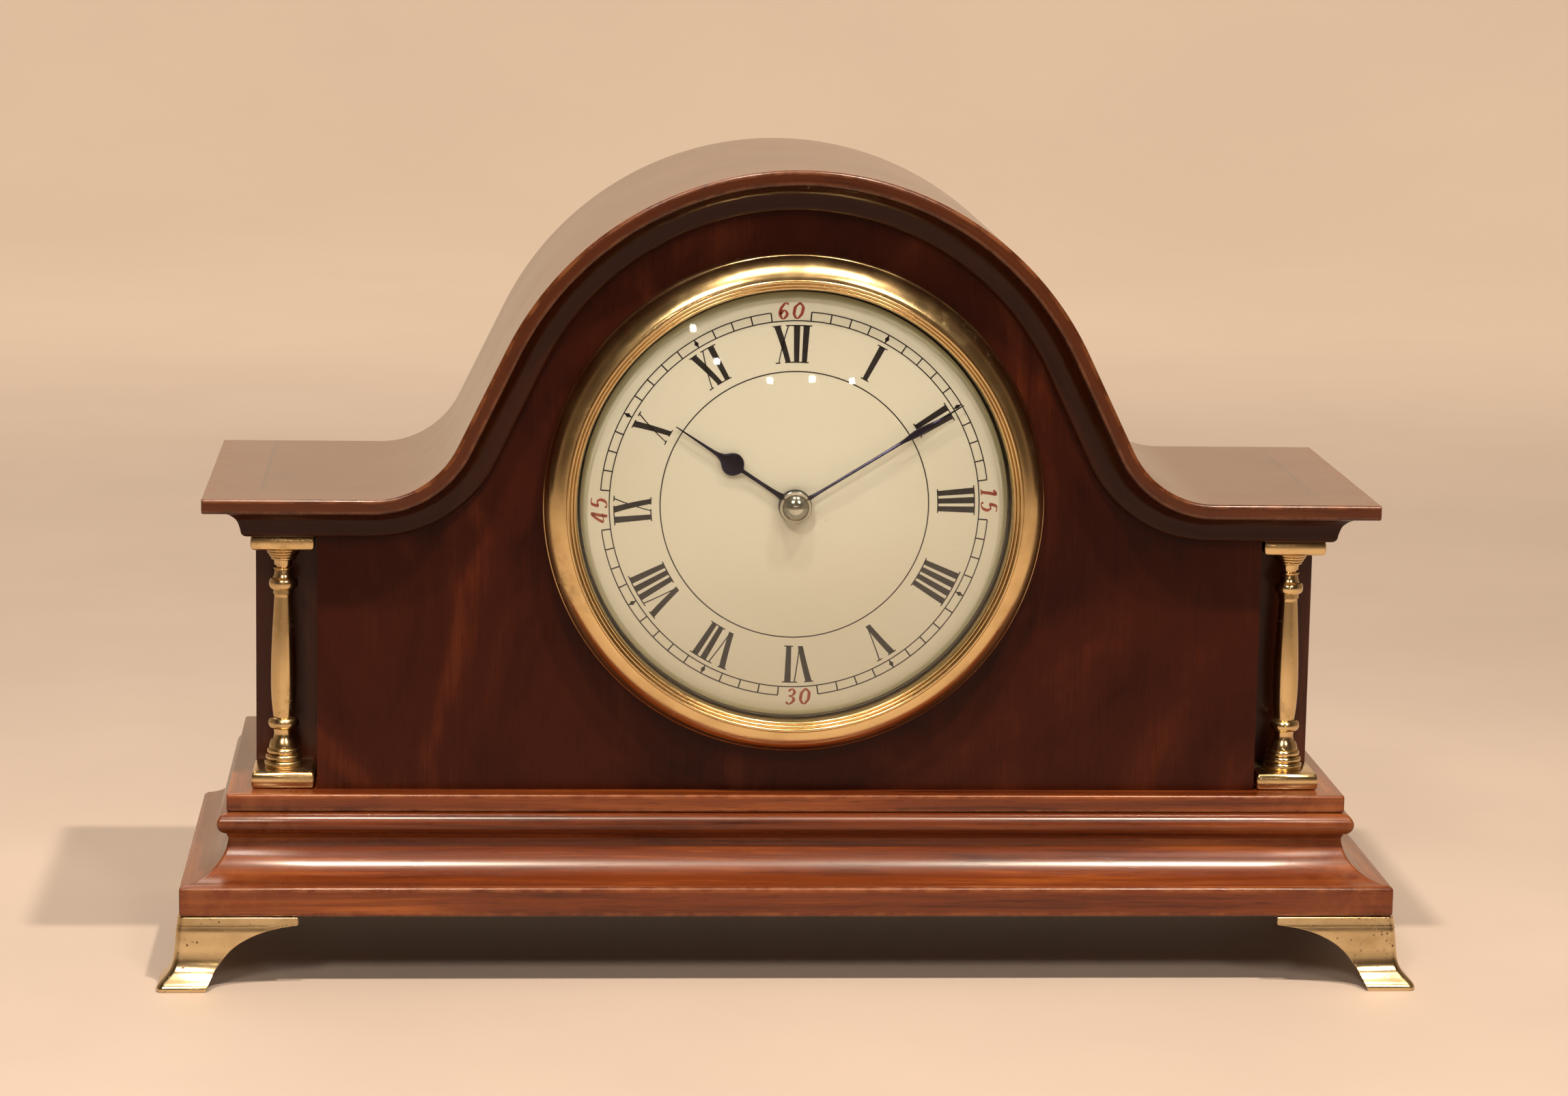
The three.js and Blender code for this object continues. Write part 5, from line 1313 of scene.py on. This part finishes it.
@dataclass
class Hands:
    """The two blued hands and the domed boss in front of them; minute and hour are clockwise degrees."""

    blued: Steel
    polished: Steel
    minute: float = 58.2
    hour: float = 303.4

    def blade(self, node: str, widths: np.ndarray, clockwise: float) -> None:
        """A hand from its half widths along its length, ridged down the middle.

        Args:
            node: The CAD node that it stands for, which gives it its name and its body.
            widths: Distance from the centre and half width, from the eye to the tip.
            clockwise: The angle that it points at, from the top.
        """
        place = Extent.of(node)
        dial = Extent.of("dial")
        front, back = place.low[1], place.high[1]
        turn = math.radians(clockwise)
        line = smooth_line(widths, 6)
        reach, half = line[:, 0], np.maximum(line[:, 1], 0.05)
        shares = np.array([-1, -0.85, 0, 0.85, 1, 1, -1, -1])
        depths = np.array([back, front + 0.12, front, front + 0.12, back, back, back, back])
        sideways = half[:, None] * shares[None, :]
        out = np.broadcast_to(reach[:, None], sideways.shape)
        x = dial.middle[0] + out * math.sin(turn) + sideways * math.cos(turn)
        z = dial.middle[2] + out * math.cos(turn) - sideways * math.sin(turn)
        y = np.broadcast_to(depths[None, :], x.shape)
        points = np.stack([x, y, z], -1)
        hole, rim = 1.6, 3.4
        eye = [(hole, back), (hole, front), (rim - 0.2, front), (rim, front + 0.12), (rim, back), (hole, back)]
        ring = turned(np.array(eye), (dial.middle[0], 0, dial.middle[2]), Axis.DEPTH, 48)
        grain = np.stack([out, sideways], -1) * MM
        piece = build(node, [Patch(points, grain, ends=True), ring], 30)
        finish_piece(piece, body_under(node), self.blued.make(), [node])

    def make(self) -> None:
        """Make both hands and the boss."""
        minute = np.array([(2.6, 0.8), (3.8, 0.45), (7, 0.3), (14, 0.3), (22, 0.32), (25.6, 0.4),
                           (28, 0.72), (29.6, 0.76), (32, 0.5), (34.4, 0.26), (39.9, 0.1)])
        self.blade("minute_hand", minute, self.minute)
        turn = np.radians([16, 32, 50, 70, 90, 110, 130])
        pear = [(15.3 - 2.35 * math.cos(a), 2.35 * math.sin(a)) for a in turn]
        hour = np.array([(2.6, 1.0), (4.4, 0.55), (8, 0.4), (12.3, 0.42), (12.8, 0.46), *pear,
                         (17.6, 1.1), (18.5, 0.66), (19.8, 0.4), (23, 0.28), (29.2, 0.12)])
        self.blade("hour_hand", hour, self.hour)
        place = Extent.of("hand_boss")
        back, deep = place.high[1], place.high[1] - place.low[1]
        r = place.high[0] - place.middle[0]
        turn = np.radians(np.linspace(0, 90, 14))
        dome = [(r * math.cos(a) * 0.97, back - 0.5 - (deep - 0.5) * math.sin(a)) for a in turn]
        profile = np.array([(0, back), (r, back), (r, back - 0.45), *dome])
        at = (place.middle[0], 0, place.middle[2])
        boss = build("hand_boss", [turned(profile, at, Axis.DEPTH, 64)], 30)
        finish_piece(boss, body_under("hand_boss"), self.polished.make(), ["hand_boss"])


@dataclass
class Bezel:
    """The brass bezel, its convex glass and the glass's ground rim.

    Attributes:
        metal: The bezel's material.
        glass: The glass's finish.
        tube: The radius of the bezel's inside where it enters the panel.
        sunk: How far it enters.
        rise: How far the glass bulges, and thick its thickness.
    """

    metal: bpy.types.Material
    glass: ClearGlass
    tube: float = 44.75
    sunk: float = 2.0
    rise: float = 4.4
    thick: float = 1.4

    def make(self) -> None:
        """Make the bezel and the glass.

        The bezel's section, from the outside in: a plain edge, a broad round band, three beads and a lip.
        The glass bulges as the square of its distance from the centre.
        """
        place, dial = Extent.of("bezel"), Extent.of("dial")
        panel = Extent.of("front_panel").low[1]
        at = (dial.middle[0], 0, dial.middle[2])
        outside = place.high[0] - place.middle[0]
        edge = ((0.0, 0.02), (0.0, 2.7), (0.1, 2.95), (0.3, 3.1))
        band = ((0.35, 3.35), (0.55, 4.0), (1.2, 5.0), (2.1, 5.95), (3.1, 6.7), (4.1, 7.2), (4.75, 7.35))
        lip = ((6.95, 6.2), (7.05, 5.6), (7.05, 4.9), (7.1, 3.3), (7.1, -self.sunk))
        outline = [(self.tube, -self.sunk), (self.tube, 0.02), *((outside - i, proud) for i, proud in edge)]
        outline += [tuple(p) for p in smooth_line([(outside - i, proud) for i, proud in band], 5)]
        for middle, height, half in ((5.15, 7.25, 0.36), (5.85, 6.95, 0.33), (6.5, 6.6, 0.3)):
            for a in np.linspace(math.pi, 0, 9):
                outline.append((outside - middle - half * math.cos(a), height + 0.8 * half * math.sin(a)))
        outline += [(outside - i, proud) for i, proud in lip] + [(self.tube, -self.sunk)]
        profile = np.array([(r, panel - proud) for r, proud in outline])
        bezel = build("bezel", [turned(profile, at, Axis.DEPTH, 192)], 38)
        finish_piece(bezel, "case", self.metal, ["bezel"])
        glass = Extent.of("bezel_glass")
        edge, rim, rise = glass.high[0] - glass.middle[0], glass.high[1], self.rise
        radius = np.linspace(0, edge, 40)
        front = np.c_[radius, rim - self.thick - rise * (1 - (radius / edge) ** 2)]
        back = np.c_[radius, rim - rise * (1 - (radius / edge) ** 2)][::-1]
        turn = np.linspace(0, math.pi, 12)
        ring = [(43.1 - 0.6 * math.cos(a), rim + 0.9 - 0.7 * math.sin(a)) for a in turn]
        ring = np.array(ring + [(43.7, rim + 1.3), (42.5, rim + 1.3), ring[0]])
        rim_ring = build("glass_rim", [turned(ring, at, Axis.DEPTH, 128)], 60)
        finish_piece(rim_ring, "case", ClearGlass("rim_glass", (0.95, 0.96, 0.89)).make())
        shell = turned(np.vstack([front, back]), at, Axis.DEPTH, 128)
        finish_piece(build("bezel_glass", [shell], 50), "case", self.glass.make(), ["bezel_glass"])


@dataclass
class Movement:
    """The movement's carried-over pieces and their screws."""

    brass: bpy.types.Material
    polished: bpy.types.Material
    steel: bpy.types.Material
    blued: bpy.types.Material

    def screw(self, name: str, body: str, at: Sequence[float], radius: float) -> None:
        """A slotted cheese-head screw of blued steel whose head stands on a face that looks backwards.

        Args:
            name: The piece's name.
            body: The body that it rides on.
            at: The centre of the face under its head.
            radius: The head's radius.
        """
        x, y, z = at
        high, slot, sunk = 0.55 * radius, 0.16 * radius, 0.45
        profile = np.array([(0, y), (radius, y), (radius, y + high * 0.7), (radius * 0.85, y + high),
                            (radius * 0.5, y + high), (0, y + high)])
        head = turned(profile, (x, 0, z), Axis.DEPTH, 20)
        in_slot = np.abs(head.points[..., 0] - x) < slot
        on_top = np.abs(head.points[..., 1] - y) > high * 0.9
        head.points[..., 1] -= high * sunk * (in_slot & on_top)
        finish_piece(build(name, [head], 35), body, self.blued)

    def make(self) -> None:
        """Paint every carried-over node and add the screws that hold the back plate on its pillars."""
        groups = {
            "brass": ("front_plate", "back_plate", "pillar_1", "pillar_2", "pillar_3", "pillar_4",
                      "mainspring_barrel", "barrel_cap", "second_wheel", "centre_wheel", "third_wheel",
                      "fourth_wheel", "escape_wheel", "hour_wheel", "minute_wheel", "platform_plate",
                      "balance_wheel", "balance_cock", "left_strap", "right_strap"),
            "polished": ("winding_key", "setting_knob", "rear_bezel", "rear_door"),
            "steel": ("barrel_arbor", "ratchet_wheel", "click", "cannon_pinion", "pallet_lever",
                      "regulator", "rear_door_pin"),
            "blued": ("mainspring", "hairspring"),
        }
        for kind, nodes in groups.items():
            for node in nodes:
                paint(node, getattr(self, kind), 0.12 if kind == "polished" else 0.0)
        back = Extent.of("back_plate").high[1]
        for number in range(1, 5):
            pillar = Extent.of(f"pillar_{number}").middle
            self.screw(f"pillar_screw_{number}", "case", (pillar[0], back, pillar[2]), 2.2)


# ---------------------------------------------------------------------------------------------
# Light and view
# ---------------------------------------------------------------------------------------------
@dataclass
class Studio:
    """A pale floor that sweeps up into a backdrop, soft warm lamps, and the camera.

    Attributes:
        place: Where the camera stands, and target what it looks at, in millimetres.
        roll: How far it is turned about its own axis, in degrees.
        lens: Its focal length, and sensor its width, in millimetres.
        radius: The cove's radius, bend its corner's and high its height.
        spots: X, height and power of the far lamps that leave bright points on glass and brass.
    """

    place: tuple[float, float, float] = (-64.64, -935.87, 244.12)
    target: tuple[float, float, float] = (-1.79, -28.9, 88.65)
    roll: float = -0.9675
    lens: float = 103.48
    sensor: float = 36.0
    radius: float = 1900.0
    bend: float = 500.0
    high: float = 2400.0
    spots: tuple[tuple[float, float, float], ...] = (
        (-254, 465, 0.3), (-168, 350, 0.12), (18, 285, 0.12), (167, 292, 0.12), (310, 286, 0.12),
    )

    def lamp(
        self, name: str, at: Sequence[float], size: Sequence[float], power: float, colour: Colour,
        aim: Sequence[float],
    ) -> None:
        """A rectangular lamp, in millimetres, aimed at a point."""
        light = bpy.data.lights.new(name, "AREA")
        light.shape = "RECTANGLE"
        light.size, light.size_y = size[0] * MM, size[1] * MM
        light.energy = power
        light.color = colour
        lamp = bpy.data.objects.new(name, light)
        lamp.location = Vector(at) * MM
        lamp.rotation_euler = (Vector(aim) - Vector(at)).to_track_quat("-Z", "Y").to_euler()
        lamp.visible_camera = False
        bpy.context.scene.collection.objects.link(lamp)

    def make_cove(self) -> None:
        """A round cove: a flat floor that turns up into a wall all round, brighter behind the clock.

        Far from the clock the cove glows softly, a painted light from its own emission, so that it stays pale
        where the lamps don't reach;
        the glow grows with the distance from the clock and towards the back, and fades to the sides.
        The floor in front is painted darker, a painted shade that stands in for the dim room in front, so that
        the glass and the brass mirror less of it.
        """
        flat = [[0, 0], [300, 0], [700, 0]]
        turn = arc((self.radius - self.bend, self.bend), self.bend, -90, 0, 16)
        line = np.vstack([flat, turn, [[self.radius, self.high]]])
        cove = build("floor", [turned(line, (0, 0, 0), Axis.UP, 96)], 60)
        g = Graph("pale_floor")
        at = g.place()
        x, y, _ = g.parts(at)
        far = g.node("ShaderNodeMath", {"operation": "SQRT"}, x * x + y * y).value().above(0.3, 1.1)
        behind = y.above(0.0, 1.3)
        cloud = g.noise(at, 5.0, 4, 0.6)
        pale = g.blend(cloud.above(0.3, 0.7), (0.40, 0.34, 0.30), (0.44, 0.375, 0.33))
        # painted shade: the floor darkens towards the front, standing in for the dim room in front of the
        # clock
        colour = g.blend((0.0 - y).above(0.3, 0.9), pale, (0.12, 0.09, 0.07))
        # painted light: the cove's emission, stronger far off and towards the back, weaker to the sides
        aside = abs(x).above(0.5, 1.0)
        share = far * (behind * 0.92 + 0.08) * (1.0 - aside * 0.8)
        glow = g.blend(share, (0.0, 0.0, 0.0), (0.50, 0.36, 0.235))
        material = g.surface(colour, Roughness=0.6, Emission_Color=glow, Emission_Strength=0.85)
        cove.data.materials.append(material)

    def make_camera(self) -> None:
        """The camera, turned a little about its own axis."""
        data = bpy.data.cameras.new("camera")
        data.lens, data.sensor_width = self.lens, self.sensor
        data.clip_start, data.clip_end = 0.05, 20.0
        camera = bpy.data.objects.new("camera", data)
        camera.location = Vector(self.place) * MM
        ahead = (Vector(self.target) - Vector(self.place)).normalized()
        right = ahead.cross(Vector((0, 0, 1))).normalized()
        roll = math.radians(self.roll)
        up = right.cross(ahead) * math.cos(roll) + right * math.sin(roll)
        side = ahead.cross(up).normalized()
        turn = Matrix((side, up, -ahead)).transposed()
        camera.rotation_euler = turn.to_euler()
        bpy.context.scene.collection.objects.link(camera)
        bpy.context.scene.camera = camera

    def make(self) -> None:
        """Make the cove, the lamps, the room's fill and the camera.

        Two small keys hang high in front; two tall windows further off light the fronts; a wide
        ceiling lamp fills from above, and a rear lamp lights the back. Small far lamps leave bright
        points on the glass and the bezel.
        """
        self.make_cove()
        warm, soft = (1.0, 0.82, 0.64), (1.0, 0.86, 0.72)
        middle = (0, -20, 90)
        self.lamp("key_right", (260, -480, 1040), (45, 45), 11.5, warm, middle)
        self.lamp("key_left", (-130, -480, 1060), (45, 45), 10.5, warm, middle)
        self.lamp("window_left", (-430, -1330, 1080), (170, 300), 9.5, soft, middle)
        self.lamp("window_right", (560, -1330, 1080), (170, 300), 7.0, soft, middle)
        self.lamp("ceiling", (0, 150, 1350), (1200, 1000), 3.2, soft, (0, 140, 0))
        self.lamp("rear", (-300, 700, 900), (500, 400), 2.5, soft, middle)
        for number, (x, z, power) in enumerate(self.spots):
            self.lamp(f"spot_{number}", (x, -1700, z), (18, 18), power, warm, middle)
        world = bpy.data.worlds.new("room")
        bpy.context.scene.world = world
        world.use_nodes = True
        room = world.node_tree.nodes["Background"]
        room.inputs["Color"].default_value = (0.8, 0.66, 0.5, 1.0)
        room.inputs["Strength"].default_value = 0.06
        bpy.context.scene.view_settings.view_transform = "Standard"
        self.make_camera()


# ---------------------------------------------------------------------------------------------
# The whole
# ---------------------------------------------------------------------------------------------
@dataclass
class MantelClock:
    """The clock: its finishes, and its sub-assemblies in order."""

    dark: PolishedWood = PolishedWood(
        "dark_mahogany", (0.010, 0.0018, 0.0008), (0.028, 0.0065, 0.0024), (0.06, 0.016, 0.006),
        rubbed=(0.08, 0.028, 0.012),
        seed=2.0, streak=0.7, figure=0.5, roughness=0.3, gloss=0.4, sheen=0.05,
    )
    panel: PolishedWood = PolishedWood(
        "panel_mahogany", (0.012, 0.0016, 0.0006), (0.028, 0.0042, 0.0013), (0.07, 0.014, 0.004),
        grain=GrainFrom.UPRIGHT,
        rubbed=(0.2, 0.07, 0.03), seed=4.4, streak=0.3, figure=1.0, roughness=0.32, gloss=0.15, sheen=0.08,
        flame=(15.0, 24.0, 20.0), warp=2.2,
    )
    side: PolishedWood = PolishedWood(
        "side_mahogany", (0.018, 0.0035, 0.0013), (0.048, 0.010, 0.0035), (0.10, 0.026, 0.008),
        grain=GrainFrom.UPRIGHT,
        seed=9.1, streak=0.8, figure=0.6, roughness=0.3, gloss=0.4,
    )
    roof: PolishedWood = PolishedWood(
        "roof_mahogany", (0.022, 0.004, 0.0008), (0.05, 0.011, 0.0022), (0.10, 0.027, 0.0055),
        rubbed=(0.22, 0.075, 0.022),
        seed=6.3, streak=1.3, figure=0.5, roughness=0.24, gloss=0.8, sheen=0.2,
    )
    base: PolishedWood = PolishedWood(
        "base_mahogany", (0.03, 0.0045, 0.0009), (0.11, 0.022, 0.0042), (0.235, 0.062, 0.011),
        rubbed=(0.27, 0.095, 0.03),
        seed=1.2, streak=2.0, figure=0.5, roughness=0.28, gloss=0.7, sheen=0.2,
    )

    def make(self) -> None:
        """Build every sub-assembly."""
        Case(self.dark, self.panel, self.base, self.side, self.roof).make()
        column_brass = Brass("column_brass", bright=(0.66, 0.49, 0.25), tarnish=0.6).make()
        foot_brass = Brass(
            "foot_brass", bright=(0.66, 0.51, 0.29), pits=1.0, tarnish=0.4, lathe_marks=False
        ).make()
        bezel_brass = Brass("bezel_brass", bright=(0.72, 0.53, 0.26), tarnish=0.36, roughness=0.18).make()
        plate_brass = Brass("movement_brass", roughness=0.3, tarnish=0.15, lathe_marks=False).make()
        fitting_brass = Brass("fitting_brass", roughness=0.2, tarnish=0.3, lathe_marks=False).make()
        blued = Steel("blued_steel", (0.035, 0.03, 0.06), (0.015, 0.012, 0.025), 0.24)
        for word in ("left", "right"):
            Column(word, column_brass).make()
            for end in ("front", "back"):
                Foot(f"{end}_{word}_foot", foot_brass).make()
        Bezel(bezel_brass, ClearGlass("clear_glass")).make()
        black, red = Ink("black_ink", (0.012, 0.006, 0.008)), Ink("red_ink", (0.36, 0.045, 0.018))
        Dial(Enamel("cream_enamel"), black, red).make()
        Hands(blued, Steel("boss_steel", (0.7, 0.66, 0.6), (0.5, 0.47, 0.43), 0.14)).make()
        spring = Steel("spring_steel", (0.06, 0.07, 0.14), (0.03, 0.035, 0.08), 0.25)
        Movement(plate_brass, fitting_brass, Steel("steel").make(), spring.make()).make()


def main() -> None:
    """Build the clock and its studio."""
    logging.basicConfig(level=logging.INFO)
    MantelClock().make()
    Studio().make()


if __name__ == "__main__":
    main()
